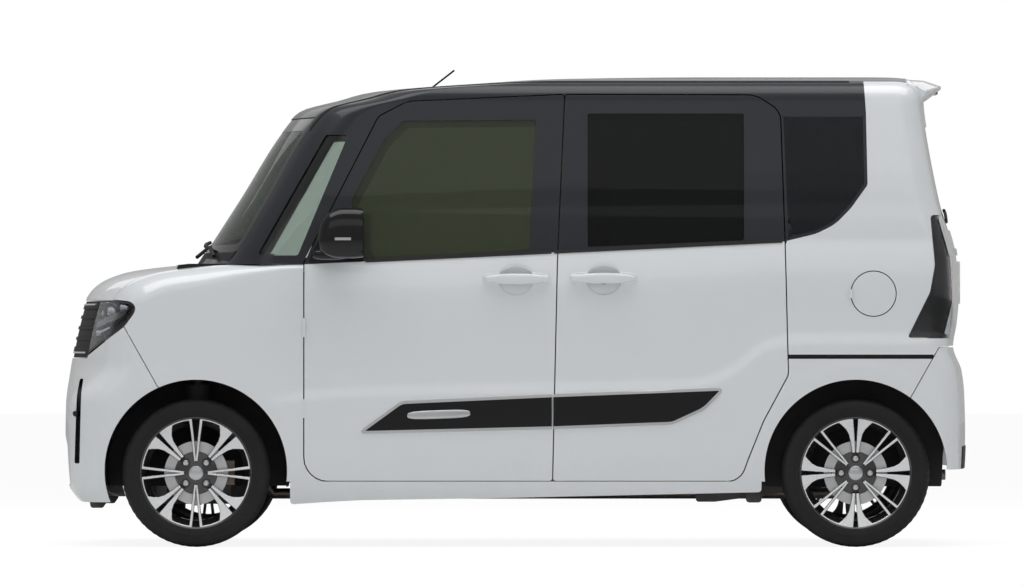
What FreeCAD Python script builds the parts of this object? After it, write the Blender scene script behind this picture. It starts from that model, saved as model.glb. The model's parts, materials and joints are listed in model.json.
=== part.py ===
import FreeCAD, Part
import math
import os

# Kei car, five doors: hinged front doors, sliding rear doors, lifting tailgate.
# Frame: +X forward, +Y to the car's left, +Z up, millimetres. The origin is on the ground, in the middle
# of the length and of the width. Heights are measured from the ground.

# ---- Overall sizes ----
FRONT_OVERHANG = 512.0
WHEELBASE = 2450.0
REAR_OVERHANG = 433.0
WIDTH = 1475.0
HEIGHT = 1755.0
LENGTH = FRONT_OVERHANG + WHEELBASE + REAR_OVERHANG
FRONT_X = LENGTH / 2
REAR_X = -LENGTH / 2
HALF_WIDTH = WIDTH / 2
FRONT_AXLE_X = FRONT_X - FRONT_OVERHANG
REAR_AXLE_X = FRONT_AXLE_X - WHEELBASE

# ---- Walls, glass and gaps ----
WALL = 70.0
BONNET_WALL = 28.0
ROOF_WALL = 36.0
GLASS = 5.0
GLASS_DEPTH = 8.0
SHUT_GAP = 8.0
TAILGATE_GAP = 10.0
POST_GAP = 6.0
POST_DEPTH = 40.0
POST_HALF_WIDTH = 55.0
FIT = 0.3
LEAST_SOLID = 2000.0
LEAST_GLASS = 500.0

# ---- Wheels ----
TYRE_RADIUS = 275.0
TYRE_WIDTH = 165.0
RIM_RADIUS = 208.0
RIM_DEPTH = 14.0
WHEEL_Y = HALF_WIDTH - 87.5
KINGPIN_OFFSET = 30.0
WHEEL_Z = TYRE_RADIUS
ARCH_RADIUS = TYRE_RADIUS + 64.0
ARCH_Z = WHEEL_Z + 8.0
LINER = 4.0
DISC_RADIUS = 120.0
STUB_RADIUS = 14.0

# ---- Heights ----
SILL_FRONT_Z = 160.0
SILL_REAR_Z = 198.0
JACK_Z = 155.0
SILL_TOP = 240.0
FLOOR = 30.0
LOAD_FLOOR_Z = 560.0
SHOULDER_Z = 1000.0
SHELF_Z = 983.0
LAMP_BOTTOM = 708.0
BONNET_SEAM_Z = 909.0
BUMPER_TOP_REAR = 741.0
GLASS_TOP = HEIGHT - 165.0
DOOR_TOP = HEIGHT - 76.0

# ---- Places along the length ----
DOOR_FRONT_X = FRONT_AXLE_X - 405.0
DOOR_SPLIT_X = FRONT_AXLE_X - 1325.0
SLIDING_REAR_X = REAR_AXLE_X + 262.0
FIREWALL_X = FRONT_AXLE_X - 372.0
COWL_X = FRONT_AXLE_X + 71.0
TAILGATE_X = REAR_X + 232.0
SPLIT_LEAN = 45.0
SPLIT_FRONT = DOOR_SPLIT_X + SHUT_GAP / 2
SPLIT_REAR = DOOR_SPLIT_X - SHUT_GAP / 2

# ---- Places across the width ----
BONNET_HALF = HALF_WIDTH - 135.0
ROOF_HALF = HALF_WIDTH - 160.0
LAMP_INNER_Y = HALF_WIDTH - 270.0
TAIL_HALF = HALF_WIDTH - 140.0
DOOR_INNER_Y = ROOF_HALF + SHUT_GAP
FAR = 3000.0
SIDE_Y = 200.0

# ---- Door handles and mirrors ----
HANDLE_Z = SHOULDER_Z - 8.0
HANDLE_HALF = 110.0
HANDLE_PROUD = 20.0
HANDLE_BAR = 14.0
HANDLE_TALL = 34.0
HANDLE_FOOT = 38.0
CUP_RADIUS = 60.0
CUP_DEPTH = 34.0
FRONT_HANDLE_X = SPLIT_FRONT + 132.0
SLIDING_HANDLE_X = SPLIT_REAR - 186.0
MIRROR_X = DOOR_FRONT_X - 15.0
MIRROR_LENGTH = 210.0
MIRROR_BOTTOM = SHOULDER_Z + 66.0
MIRROR_TOP = SHOULDER_Z + 266.0
MIRROR_Y0 = HALF_WIDTH + 30.0
MIRROR_Y1 = HALF_WIDTH + 155.0
MIRROR_EDGE = 24.0

# ---- Hinges: each pin lies at the edge of its panel, just inside the skin ----
PIN_RADIUS = 3.0
PIN_IN = 3.0
HINGE_LENGTH = 70.0
HINGE_HEIGHTS = (480.0, 780.0)
DOOR_PIN_Y = HALF_WIDTH - PIN_IN
BONNET_PIN_X = COWL_X + SHUT_GAP
BONNET_PIN_Y = 430.0
TAILGATE_PIN_Y = 210.0

# ---- Fuel lid ----
LID_X = REAR_AXLE_X - 66.0
LID_Z = SHOULDER_Z - 59.0
LID_RADIUS = 80.5
LID_GAP = 11.5
LID_WALL = 12.0
LID_PIN_RADIUS = 2.0
LID_PIN_HALF = 16.0
LID_PIN_X = LID_X + LID_RADIUS
POCKET_DEPTH = 50.0

# ---- Number plates and towing eye ----
PLATE_HALF = 168.0
PLATE_BELOW = 145.0
PLATE_ABOVE = 24.0
PLATE_SPACING = 210.0
PLATE_HOLE = 3.0
PLATE_PAD = 12.0
FRONT_PLATE_Z = 455.0
REAR_PLATE_Z = 985.0
REAR_PLATE_X = REAR_X + 18.0
TOW_Y = -430.0
TOW_Z = 330.0
TOW_RADIUS = 10.0
TOW_DEPTH = 40.0
TOW_FACE_X = FRONT_X - 80.0

# ---- Curves of the nose, screen and tail ----
NOSE_BOW = 1500.0
NOSE_CORNER = 150.0
SCREEN_BOW = 1480.0
SCREEN_CORNER = 200.0
TAIL_BOW = 5000.0
TAIL_CORNER = 80.0

# ---- Centres of the wheel arches ----
ARCH_CENTRES = ((FRONT_AXLE_X, WHEEL_Y - 255), (REAR_AXLE_X, WHEEL_Y - 110))
DOOR_CLEAR_OF_ARCH = ARCH_RADIUS + 62.0

# ---- Sills and pillars ----
PILLAR_BASE_Z = SHOULDER_Z + 53.0
SILL_DEPTH = 130.0
JACK_FRONT_X = FRONT_AXLE_X - 400.0
JACK_REAR_X = REAR_AXLE_X + 385.0
JACK_Y = HALF_WIDTH - 90.0
JACK_HALF = 28.0

# ---- Floor ----
FLOOR_Z = SILL_TOP - FLOOR
LOAD_UNDER_Z = LOAD_FLOOR_Z - 20.0
SHELF_UNDER_Z = SHELF_Z - 15.0
STEP_X = REAR_AXLE_X + 500.0

# ---- Wheel sections ----
BEAD_RADIUS = RIM_RADIUS - 8.0
HALF_TYRE = TYRE_WIDTH / 2
RIM_HALF = 72.0
FLANGE = 6.0
SPOKES = 8
SPOKE_INNER = 78.0
SPOKE_OUTER = 184.0
SPOKE_HALF = 13.0
FACE_IN = 34.0
FACE_OUT = 58.0
DISC_IN = -8.0
DISC_OUT = 2.0
HUB_WALL = 62.0

# ---- Front suspension ----
KINGPIN_Y = WHEEL_Y - KINGPIN_OFFSET
POST_RADIUS = 14.0
POST_HALF = 100.0
BALL_RADIUS = 9.0
EYE_RADIUS = 16.0
EYE_HALF = 9.0
BALL_REACH = 22.0
STRUT_Y = WHEEL_Y - 170.0
STRUT_RADIUS = 24.0
SPRING_RADIUS = 48.0
STRUT_TOP = ARCH_Z + ARCH_RADIUS + 60.0
EYE_LOW = WHEEL_Z - POST_HALF - EYE_HALF - 2
EYE_HIGH = WHEEL_Z + POST_HALF + EYE_HALF + 2
RAIL_Y0 = WHEEL_Y - 288.0
RAIL_Y1 = WHEEL_Y - 262.0
RAIL_Z0 = 450.0
RAIL_Z1 = 530.0
CRADLE_Z1 = WHEEL_Z - 90.0
CRADLE_Z0 = CRADLE_Z1 - 30.0
CRADLE_X0 = FRONT_AXLE_X - 180.0
CRADLE_X1 = FRONT_AXLE_X + 220.0
POST_WIDTH = 60.0

# ---- Engine, tank and exhaust ----
ENGINE_X0 = FRONT_AXLE_X - 177.0
ENGINE_X1 = FRONT_AXLE_X + 273.0
ENGINE_HALF = RAIL_Y0 - 10.0
ENGINE_TOP = 720.0
ENGINE_Z = CRADLE_Z1 + 30.0
BEAM_X = REAR_AXLE_X + 120.0
EXHAUST_Y = -120.0
EXHAUST_Z = 186.0
PIPE_RADIUS = 20.0
HANGER_RADIUS = 8.0
SILENCER_X0 = REAR_X + 100.0
SILENCER_X1 = REAR_X + 340.0
SILENCER_Z = 300.0
TANK_X1 = STEP_X - 40.0

# ---- Rear axle ----
BEAM_RADIUS = 30.0
ARM_Y = WHEEL_Y - 150.0

# ---- Seats ----
SEAT_Y = 330.0
SEAT_HALF = 235.0
SEAT_BACK_X = DOOR_SPLIT_X + 40.0
HEADREST_HALF = 130.0
HEADREST_Z0 = 1215.0
HEADREST_Z1 = 1410.0
REAR_SEAT_X = STEP_X - 60.0
REAR_SEAT_HALF = HALF_WIDTH - WALL - 60.0
STEERING_Y = -SEAT_Y


# ---- Shapes ----
def vec(x, y, z):
    return FreeCAD.Vector(x, y, z)


def box(x0, x1, y0, y1, z0, z1):
    return Part.makeBox(x1 - x0, y1 - y0, z1 - z0, vec(x0, y0, z0))


def rod(start, end, radius):
    """A round bar between two points."""
    axis = end.sub(start)
    return Part.makeCylinder(radius, axis.Length, start, axis)


def across(x, z, radius, y0, y1):
    """A round bar along Y."""
    return rod(vec(x, y0, z), vec(x, y1, z), radius)


def mirrored(shape):
    return shape.mirror(vec(0, 0, 0), vec(0, 1, 0))


def pair(shape):
    return Part.makeCompound([shape, mirrored(shape)])


def fuse(shapes):
    return shapes[0].multiFuse(shapes[1:]).removeSplitter()


def kept(shape, least=LEAST_SOLID):
    """The solids of a boolean's result, without chips thinner than a seam."""
    return Part.makeCompound([solid for solid in shape.Solids if solid.Volume > least])


def outline(rows, place):
    """A closed wire of lines and arcs. Columns of rows: two coordinates and the corner's radius."""
    count = len(rows)
    corners = []
    for index in range(count):
        before = rows[index - 1]
        here = rows[index]
        after = rows[(index + 1) % count]
        back = FreeCAD.Vector(before[0] - here[0], before[1] - here[1], 0)
        ahead = FreeCAD.Vector(after[0] - here[0], after[1] - here[1], 0)
        back.normalize()
        ahead.normalize()
        point = FreeCAD.Vector(here[0], here[1], 0)
        if here[2] == 0:
            corners.append((point, point, point))
            continue
        half = back.getAngle(ahead) / 2
        reach = here[2] / math.tan(half)
        middle = back.add(ahead)
        middle.normalize()
        centre = point.add(middle.multiply(here[2] / math.sin(half)))
        inward = point.sub(centre)
        inward.normalize()
        crest = centre.add(inward.multiply(here[2]))
        corners.append((point.add(back.multiply(reach)), crest, point.add(ahead.multiply(reach))))
    edges = []
    for index in range(count):
        start, crest, end = [place(p.x, p.y) for p in corners[index]]
        if start.distanceToPoint(end) > 1e-6:
            edges.append(Part.Arc(start, crest, end).toShape())
        following = place(corners[(index + 1) % count][0].x, corners[(index + 1) % count][0].y)
        if end.distanceToPoint(following) > 1e-6:
            edges.append(Part.makeLine(end, following))
    return Part.Wire(edges)


def side_prism(rows, y0, y1, grow=0.0):
    """An outline of x and z, extruded from y0 to y1. grow moves the outline out."""
    face = Part.Face(outline(rows, lambda a, b: vec(a, y0, b)))
    if grow != 0:
        face = face.makeOffset2D(grow, 2)
    return face.extrude(vec(0, y1 - y0, 0))


def front_prism(rows, x0, x1):
    """An outline of y and z, extruded from x0 to x1."""
    face = Part.Face(outline(rows, lambda a, b: vec(x0, a, b)))
    return face.extrude(vec(x1 - x0, 0, 0))


# ---- The body's outer surface ----
def plan_section(z, half_width, front_x, rear_x, front_bow, rear_bow, front_corner, rear_corner):
    """The body's outline at one height: bowed nose and tail, tangent corners, straight sides."""
    ends = []
    nose_and_tail = ((front_x, front_bow, front_corner, 1), (rear_x, rear_bow, rear_corner, -1))
    for end_x, bow, corner, sign in nose_and_tail:
        reach = half_width - corner
        run = math.sqrt((bow - corner) ** 2 - reach ** 2)
        bow_centre = end_x - sign * bow
        corner_x = bow_centre + sign * run
        turn = math.asin(reach / (bow - corner))
        tangent = (bow_centre + sign * bow * math.cos(turn), bow * math.sin(turn))
        crest_turn = (turn + math.pi / 2) / 2
        crest = (corner_x + sign * corner * math.cos(crest_turn), reach + corner * math.sin(crest_turn))
        ends.append((corner_x, crest, tangent, end_x))
    front, rear = ends

    def arc(a, b, c):
        return Part.Arc(vec(a[0], a[1], z), vec(b[0], b[1], z), vec(c[0], c[1], z)).toShape()

    def flip(point):
        return (point[0], -point[1])

    side_front = (front[0], half_width)
    side_rear = (rear[0], half_width)
    edges = [
        arc(flip(front[2]), (front[3], 0), front[2]),
        arc(front[2], front[1], side_front),
        Part.makeLine(vec(side_front[0], half_width, z), vec(side_rear[0], half_width, z)),
        arc(side_rear, rear[1], rear[2]),
        arc(rear[2], (rear[3], 0), flip(rear[2])),
        arc(flip(rear[2]), flip(rear[1]), flip(side_rear)),
        Part.makeLine(vec(side_rear[0], -half_width, z), vec(side_front[0], -half_width, z)),
        arc(flip(side_front), flip(front[1]), flip(front[2])),
    ]
    return Part.Wire(edges)


# Columns: height, in from the half width, back from the nose, forward from the tail.
LOWER_BODY = [
    (140.0, 50.0, 92.0, 48.0),
    (230.0, 14.0, 8.0, 8.0),
    (420.0, 0.0, 0.0, 0.0),
    (560.0, 0.0, 3.0, 4.0),
    (652.0, 0.0, 16.0, 14.0),
    (745.0, 0.5, 32.0, 48.0),
    (836.0, 1.5, 49.0, 30.0),
    (928.0, 3.0, 75.0, 22.0),
    (1060.0, 5.0, 130.0, 30.0),
]
# Columns: share of the height from shoulder to roof, in from the half width, ahead of the front axle,
# forward from the tail.
UPPER_BODY = [
    (-0.2, 8.0, 150.0, 34.0),
    (0.0, 6.0, 53.0, 30.0),
    (0.119, 12.0, -5.0, 36.0),
    (0.391, 37.0, -137.0, 94.0),
    (0.776, 73.0, -324.0, 149.0),
    (0.837, 80.0, -372.0, 158.0),
    (0.887, 86.0, -512.0, 153.0),
    (0.927, 96.0, -627.0, 98.0),
    (0.960, 130.0, -937.0, 98.0),
    (0.987, 240.0, -1267.0, 138.0),
    (1.0, 390.0, -1687.0, 298.0),
]


def envelope(inset):
    """The whole body as one solid, with its surface moved in by inset."""
    lower = []
    for z, narrower, back, ahead in LOWER_BODY:
        lower.append(plan_section(
            z, HALF_WIDTH - narrower - inset, FRONT_X - back - inset, REAR_X + ahead + inset,
            NOSE_BOW, TAIL_BOW, NOSE_CORNER, TAIL_CORNER))
    bonnet_line = [
        (FRONT_X + 400, -400, 0),
        (FRONT_X + 400, 700, 0),
        (FRONT_X - 38, 860, 0),
        (FRONT_X - 99, 968, 90),
        (FRONT_X - 240, 1026, 250),
        (FRONT_AXLE_X + 30, 1053, 0),
        (REAR_X - 400, 1053, 0),
        (REAR_X - 400, -400, 0),
    ]
    base = Part.makeLoft(lower, True, True).common(side_prism(bonnet_line, -FAR, FAR, -inset))
    upper = []
    for share, narrower, ahead, tail in UPPER_BODY:
        z = SHOULDER_Z + share * (HEIGHT - SHOULDER_Z)
        drop = inset if share > 0.8 else inset * max(0.0, share) / 0.8
        upper.append(plan_section(
            z - drop, HALF_WIDTH - narrower - inset,
            FRONT_AXLE_X + ahead - inset * 1.1, REAR_X + tail + inset,
            SCREEN_BOW, TAIL_BOW, SCREEN_CORNER, TAIL_CORNER))
    cabin = Part.makeLoft(upper, True, True)
    return base.fuse(cabin)


OUTER = envelope(0.0)
INNER = envelope(WALL)
UNDERSIDE = side_prism([
    (FRONT_X + 200, -400, 0),
    (FRONT_X + 200, 190, 0),
    (FRONT_X - 60, SILL_FRONT_Z, 0),
    (FRONT_AXLE_X - 355, SILL_FRONT_Z, 0),
    (REAR_AXLE_X + 345, SILL_REAR_Z, 0),
    (REAR_AXLE_X - 327, 285, 0),
    (REAR_X - 200, 290, 0),
    (REAR_X - 200, -400, 0),
], -FAR, FAR)
SHELL = OUTER.cut(INNER).cut(UNDERSIDE)
LEFT_SHELL = SHELL.common(box(-FAR, FAR, 0, FAR, 0, FAR))
GLAZING = envelope(GLASS_DEPTH).cut(envelope(GLASS_DEPTH + GLASS))
LEFT_GLAZING = GLAZING.common(box(-FAR, FAR, 0, FAR, 0, FAR))

# ---- Outlines of the left side. Columns: x, z, corner radius ----
FRONT_DOOR = [
    (DOOR_FRONT_X, SILL_TOP + SHUT_GAP, 60),
    (SPLIT_FRONT, SILL_TOP + SHUT_GAP, 8),
    (SPLIT_FRONT - 18, SHOULDER_Z + 60, 0),
    (SPLIT_FRONT - SPLIT_LEAN, DOOR_TOP, 10),
    (FRONT_AXLE_X - 785, DOOR_TOP - 26, 100),
    (FRONT_AXLE_X - 680, GLASS_TOP + 8, 40),
    (DOOR_FRONT_X, SHOULDER_Z + 58, 0),
]
SLIDING_DOOR = [
    (SPLIT_REAR, SILL_TOP + SHUT_GAP, 8),
    (SLIDING_REAR_X - 8, SILL_TOP + SHUT_GAP, 8),
    (SLIDING_REAR_X - 8, 640, 0),
    (SLIDING_REAR_X + 4, SHOULDER_Z + 136, 0),
    (SLIDING_REAR_X + 28, DOOR_TOP - 8, 40),
    (SPLIT_REAR - SPLIT_LEAN, DOOR_TOP, 10),
    (SPLIT_REAR - 18, SHOULDER_Z + 60, 0),
]
FRONT_WINDOW = [
    (FRONT_AXLE_X - 573, SHOULDER_Z + 279, 40),
    (FRONT_AXLE_X - 643, SHOULDER_Z + 77, 8),
    (SPLIT_FRONT + 98, SHOULDER_Z + 108, 8),
    (SPLIT_FRONT + 70, GLASS_TOP - 2, 8),
    (FRONT_AXLE_X - 768, GLASS_TOP - 6, 20),
    (FRONT_AXLE_X - 694, GLASS_TOP - 84, 20),
]
SLIDING_WINDOW = [
    (SPLIT_REAR - 134, SHOULDER_Z + 120, 8),
    (SPLIT_REAR - 134, GLASS_TOP + 10, 8),
    (SLIDING_REAR_X + 157, GLASS_TOP + 10, 8),
    (SLIDING_REAR_X + 157, SHOULDER_Z + 141, 8),
]
FRONT_QUARTER_WINDOW = [
    (FRONT_AXLE_X - 230, SHOULDER_Z + 83, 8),
    (FRONT_AXLE_X - 342, SHOULDER_Z + 83, 8),
    (FRONT_AXLE_X - 565, GLASS_TOP - 58, 8),
    (FRONT_AXLE_X - 483, GLASS_TOP - 58, 8),
]
REAR_QUARTER_WINDOW = [
    (REAR_AXLE_X + 248, SHOULDER_Z + 150, 8),
    (REAR_AXLE_X + 68, SHOULDER_Z + 212, 20),
    (REAR_AXLE_X - 27, SHOULDER_Z + 342, 30),
    (REAR_AXLE_X - 5, GLASS_TOP + 10, 8),
    (REAR_AXLE_X + 258, GLASS_TOP + 10, 8),
]
HEADLAMP = [
    (FRONT_X - 266, BONNET_SEAM_Z + 8, 0),
    (FRONT_X - 288, BONNET_SEAM_Z - 16, 8),
    (FRONT_X - 245, LAMP_BOTTOM + 112, 10),
    (FRONT_X - 97, LAMP_BOTTOM + 6, 10),
    (FRONT_X + 80, LAMP_BOTTOM + 6, 0),
    (FRONT_X + 80, BONNET_SEAM_Z + 8, 0),
]
FRONT_BUMPER = [
    (FRONT_X - 244, LAMP_BOTTOM + 109, 0),
    (FRONT_X - 97, LAMP_BOTTOM, 10),
    (FRONT_X + 80, LAMP_BOTTOM, 0),
    (FRONT_X + 80, 60, 0),
    (FRONT_AXLE_X + 100, 60, 0),
    (FRONT_AXLE_X + 100, 560, 0),
    (FRONT_AXLE_X + 143, 596, 0),
]
REAR_BUMPER = [
    (REAR_X - 80, BUMPER_TOP_REAR, 0),
    (REAR_X + 130, BUMPER_TOP_REAR, 10),
    (REAR_X + 228, 555, 0),
    (REAR_X + 228, 60, 0),
    (REAR_X - 80, 60, 0),
]
TAIL_LAMP = [
    (REAR_X + 153, SHOULDER_Z + 232, 12),
    (REAR_X + 137, SHOULDER_Z + 48, 30),
    (REAR_X + 155, SHOULDER_Z - 53, 30),
    (REAR_X + 239, SHOULDER_Z - 223, 8),
    (REAR_X - 80, SHOULDER_Z - 223, 0),
    (REAR_X - 80, SHOULDER_Z + 232, 0),
]

nodes = {}


# ---- Doors ----
def door_skin(rows, window, grow=0.0):
    """A door's wall, or with grow the hole in the body that it shuts."""
    shape = side_prism(rows, DOOR_INNER_Y - grow, FAR, grow)
    arch = across(REAR_AXLE_X, ARCH_Z, DOOR_CLEAR_OF_ARCH - grow, 0, FAR)
    shape = shape.cut(arch)
    if window is None:
        return shape
    return LEFT_SHELL.common(shape).cut(side_prism(window, SIDE_Y, FAR))


FRONT_APERTURE = door_skin(FRONT_DOOR, None, SHUT_GAP)
SLIDING_APERTURE = door_skin(SLIDING_DOOR, None, SHUT_GAP)


def handle_cup(x):
    """The round hollow behind a door handle."""
    return across(x, HANDLE_Z, CUP_RADIUS, HALF_WIDTH - CUP_DEPTH, FAR)


def handle(x):
    """A pull bar that stands on two feet, one each side of the cup."""
    skin = HALF_WIDTH - 3.0
    low = HANDLE_Z - HANDLE_TALL / 2
    high = HANDLE_Z + HANDLE_TALL / 2
    face = skin + HANDLE_PROUD
    bar = box(x - HANDLE_HALF, x + HANDLE_HALF, face - HANDLE_BAR, face, low, high)
    feet = [
        box(start, start + HANDLE_FOOT, skin - HANDLE_BAR, face, low, high)
        for start in (x - HANDLE_HALF, x + HANDLE_HALF - HANDLE_FOOT)
    ]
    return fuse([bar] + feet).cut(OUTER)


def mirror_body():
    """A door mirror: a housing that slopes at the front, on a short foot at the belt."""
    back = MIRROR_X - MIRROR_LENGTH
    housing = side_prism([
        (MIRROR_X, MIRROR_BOTTOM, 20),
        (MIRROR_X - 18, MIRROR_BOTTOM + 84, 60),
        (MIRROR_X - 80, MIRROR_TOP - 14, 60),
        (MIRROR_X - 130, MIRROR_TOP - 4, 40),
        (back + 4, MIRROR_TOP - 46, 30),
        (back, MIRROR_BOTTOM, 20),
    ], MIRROR_Y0, MIRROR_Y1)
    rim = [edge for edge in housing.Edges if edge.BoundBox.YLength < 1]
    housing = housing.makeFillet(MIRROR_EDGE / 2, rim)
    foot = side_prism([
        (MIRROR_X - 120, MIRROR_BOTTOM - 4, 0),
        (MIRROR_X - 10, MIRROR_BOTTOM - 4, 0),
        (MIRROR_X - 20, MIRROR_BOTTOM + 60, 0),
        (MIRROR_X - 110, MIRROR_BOTTOM + 60, 0),
    ], HALF_WIDTH - 60, MIRROR_Y0 + 40)
    return fuse([housing, foot]).cut(OUTER)


front_door = door_skin(FRONT_DOOR, FRONT_WINDOW).cut(handle_cup(FRONT_HANDLE_X))
sliding_door = door_skin(SLIDING_DOOR, SLIDING_WINDOW).cut(handle_cup(SLIDING_HANDLE_X))
front_door_glass = LEFT_GLAZING.common(side_prism(FRONT_WINDOW, SIDE_Y, FAR))
sliding_glass = LEFT_GLAZING.common(side_prism(SLIDING_WINDOW, SIDE_Y, FAR))

# ---- Hinges ----
def skin_z(x, y):
    """Height of the outer surface above a point."""
    return Part.makeLine(vec(x, y, 300), vec(x, y, FAR)).common(OUTER).BoundBox.ZMax


def skin_y(x, z):
    """The outer surface's distance from the middle, on the left."""
    return Part.makeLine(vec(x, 0, z), vec(x, FAR, z)).common(OUTER).BoundBox.YMax


def hinge(start, end, gap, outward, radius=PIN_RADIUS):
    """A pin, the plate that carries it across the gap, and the notch in the panel that turns round it."""
    pin = rod(start, end, radius)
    thick = vec(outward.x, outward.y, outward.z).multiply(radius)
    low = start.sub(thick)
    high = end.add(thick).add(vec(gap, 0, 0))
    plate = box(min(low.x, high.x), max(low.x, high.x), low.y, high.y, low.z, high.z)
    along = end.sub(start)
    along.normalize()
    along.multiply(FIT)
    notch = rod(start.sub(along), end.add(along), radius + FIT)
    reach = vec(outward.x, outward.y, outward.z).multiply(4 * radius)
    low = start.sub(along)
    high = end.add(along).add(reach)
    slot = box(low.x - radius - FIT, low.x + radius + FIT, low.y, high.y, low.z, high.z)
    return pin.fuse(plate), notch.fuse(slot)


LEFT = vec(0, 1, 0)
UP = vec(0, 0, 1)
door_hinges = []
for height in HINGE_HEIGHTS:
    pin, notch = hinge(vec(DOOR_FRONT_X, DOOR_PIN_Y, height),
                       vec(DOOR_FRONT_X, DOOR_PIN_Y, height + HINGE_LENGTH), SHUT_GAP, LEFT)
    door_hinges.append(pin)
    front_door = front_door.cut(notch)

for side, place in (("left", lambda s: s), ("right", mirrored)):
    nodes["front_door_" + side] = place(kept(front_door))
    nodes["front_door_glass_" + side] = place(kept(front_door_glass, 500))
    nodes["door_mirror_" + side] = place(kept(mirror_body()))
    nodes["front_door_handle_" + side] = place(kept(handle(FRONT_HANDLE_X)))

nodes["sliding_doors"] = pair(kept(sliding_door))
nodes["sliding_door_handles"] = pair(kept(handle(SLIDING_HANDLE_X)))

# ---- Body sides ----
ARCHES = fuse([across(x, ARCH_Z, ARCH_RADIUS, y, FAR) for x, y in ARCH_CENTRES])
TAILGATE_ZONE = box(REAR_X - 80, TAILGATE_X + TAILGATE_GAP, -FAR, TAIL_HALF + SHUT_GAP, BUMPER_TOP_REAR, FAR)
BONNET_ZONE = box(COWL_X, FRONT_X + 80, -FAR, BONNET_HALF + SHUT_GAP, LAMP_BOTTOM, FAR)
rest = LEFT_SHELL.cut(FRONT_APERTURE).cut(SLIDING_APERTURE).cut(ARCHES)
front_bumper_prism = side_prism(FRONT_BUMPER, -FAR, FAR)
headlamp_prism = side_prism(HEADLAMP, -FAR, FAR)
rear_bumper_prism = side_prism(REAR_BUMPER, -FAR, FAR)
tail_lamp_prism = side_prism(TAIL_LAMP, TAIL_HALF + SHUT_GAP, FAR)

flank = rest.cut(front_bumper_prism).cut(headlamp_prism).cut(rear_bumper_prism).cut(tail_lamp_prism)
flank = flank.cut(TAILGATE_ZONE).cut(BONNET_ZONE)
above_belt = box(REAR_AXLE_X, FAR, 0, FAR, PILLAR_BASE_Z, FAR)
fender_box = box(DOOR_FRONT_X, FAR, 0, FAR, SILL_TOP, PILLAR_BASE_Z)
cowl_box = box(FIREWALL_X, FAR, 0, BONNET_HALF + SHUT_GAP, 0, PILLAR_BASE_Z + 60)
roof_box = box(-FAR, FAR, 0, ROOF_HALF, HEIGHT - 300, FAR)

screen_rows = [
    (-HALF_WIDTH + 108, SHOULDER_Z + 96, 30),
    (HALF_WIDTH - 108, SHOULDER_Z + 96, 30),
    (HALF_WIDTH - 178, GLASS_TOP + 8, 30),
    (-HALF_WIDTH + 178, GLASS_TOP + 8, 30),
]
screen_prism = front_prism(screen_rows, FRONT_AXLE_X - 440, FAR)

pillars = flank.common(above_belt).cut(cowl_box).cut(roof_box).cut(screen_prism)
quarter_windows = side_prism(FRONT_QUARTER_WINDOW, SIDE_Y, FAR)
quarter_windows = quarter_windows.fuse(side_prism(REAR_QUARTER_WINDOW, SIDE_Y, FAR))
pillars = pillars.cut(quarter_windows)
post_zone = side_prism([
    (DOOR_SPLIT_X + POST_HALF_WIDTH, SILL_TOP, 0),
    (DOOR_SPLIT_X - POST_HALF_WIDTH, SILL_TOP, 0),
    (DOOR_SPLIT_X - POST_HALF_WIDTH - SPLIT_LEAN, HEIGHT, 0),
    (DOOR_SPLIT_X + POST_HALF_WIDTH - SPLIT_LEAN, HEIGHT, 0),
], 0, FAR)
post_core = envelope(WALL + POST_GAP + POST_DEPTH)
centre_post = envelope(WALL + POST_GAP).cut(post_core).common(post_zone)
centre_post = centre_post.common(box(-FAR, FAR, ROOF_HALF - POST_DEPTH, FAR, 0, FAR))
post_head = envelope(ROOF_WALL).cut(post_core).common(post_zone)
post_head = post_head.common(box(-FAR, FAR, ROOF_HALF - POST_DEPTH, ROOF_HALF, HEIGHT - 200, FAR))
pillars = fuse([pillars, centre_post, post_head])
fenders = flank.common(fender_box).cut(cowl_box)
quarters = flank.cut(above_belt).cut(fender_box).cut(cowl_box).cut(roof_box)
quarters = quarters.common(box(-FAR, FAR, ROOF_HALF - WALL, FAR, 0, FAR))
quarters = quarters.cut(quarter_windows)

# The sills are boxes behind the skin, joined to the quarter panels. Each has two pads for a jack under it.
CORE = envelope(SILL_DEPTH)
sill_front = FRONT_AXLE_X - 352
sill_rear = REAR_AXLE_X + 352
sill_zone = box(sill_rear, sill_front, 0, FAR, 0, SILL_TOP)
sill = INNER.cut(CORE).common(sill_zone).cut(ARCHES).cut(UNDERSIDE)
jack_pads = [
    box(x - JACK_HALF, x + JACK_HALF, JACK_Y - JACK_HALF, JACK_Y + JACK_HALF, JACK_Z, SILL_TOP - 10)
    for x in (JACK_FRONT_X, JACK_REAR_X)
]
fuel_pocket = across(LID_X, LID_Z, LID_RADIUS + LID_GAP, SIDE_Y, FAR).cut(envelope(POCKET_DEPTH))
body_side = kept(fuse([quarters, sill] + jack_pads))

nodes["body_sides"] = Part.makeCompound([kept(body_side.cut(fuel_pocket)), mirrored(body_side)])
nodes["front_pillars"] = pair(kept(pillars))
nodes["front_wings"] = pair(kept(fenders))

side_glass = [
    kept(LEFT_GLAZING.common(side_prism(FRONT_QUARTER_WINDOW, SIDE_Y, FAR)), LEAST_GLASS),
    kept(LEFT_GLAZING.common(side_prism(REAR_QUARTER_WINDOW, SIDE_Y, FAR)), LEAST_GLASS),
    kept(sliding_glass, LEAST_GLASS),
]
nodes["side_glass"] = pair(Part.makeCompound(side_glass))

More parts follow.
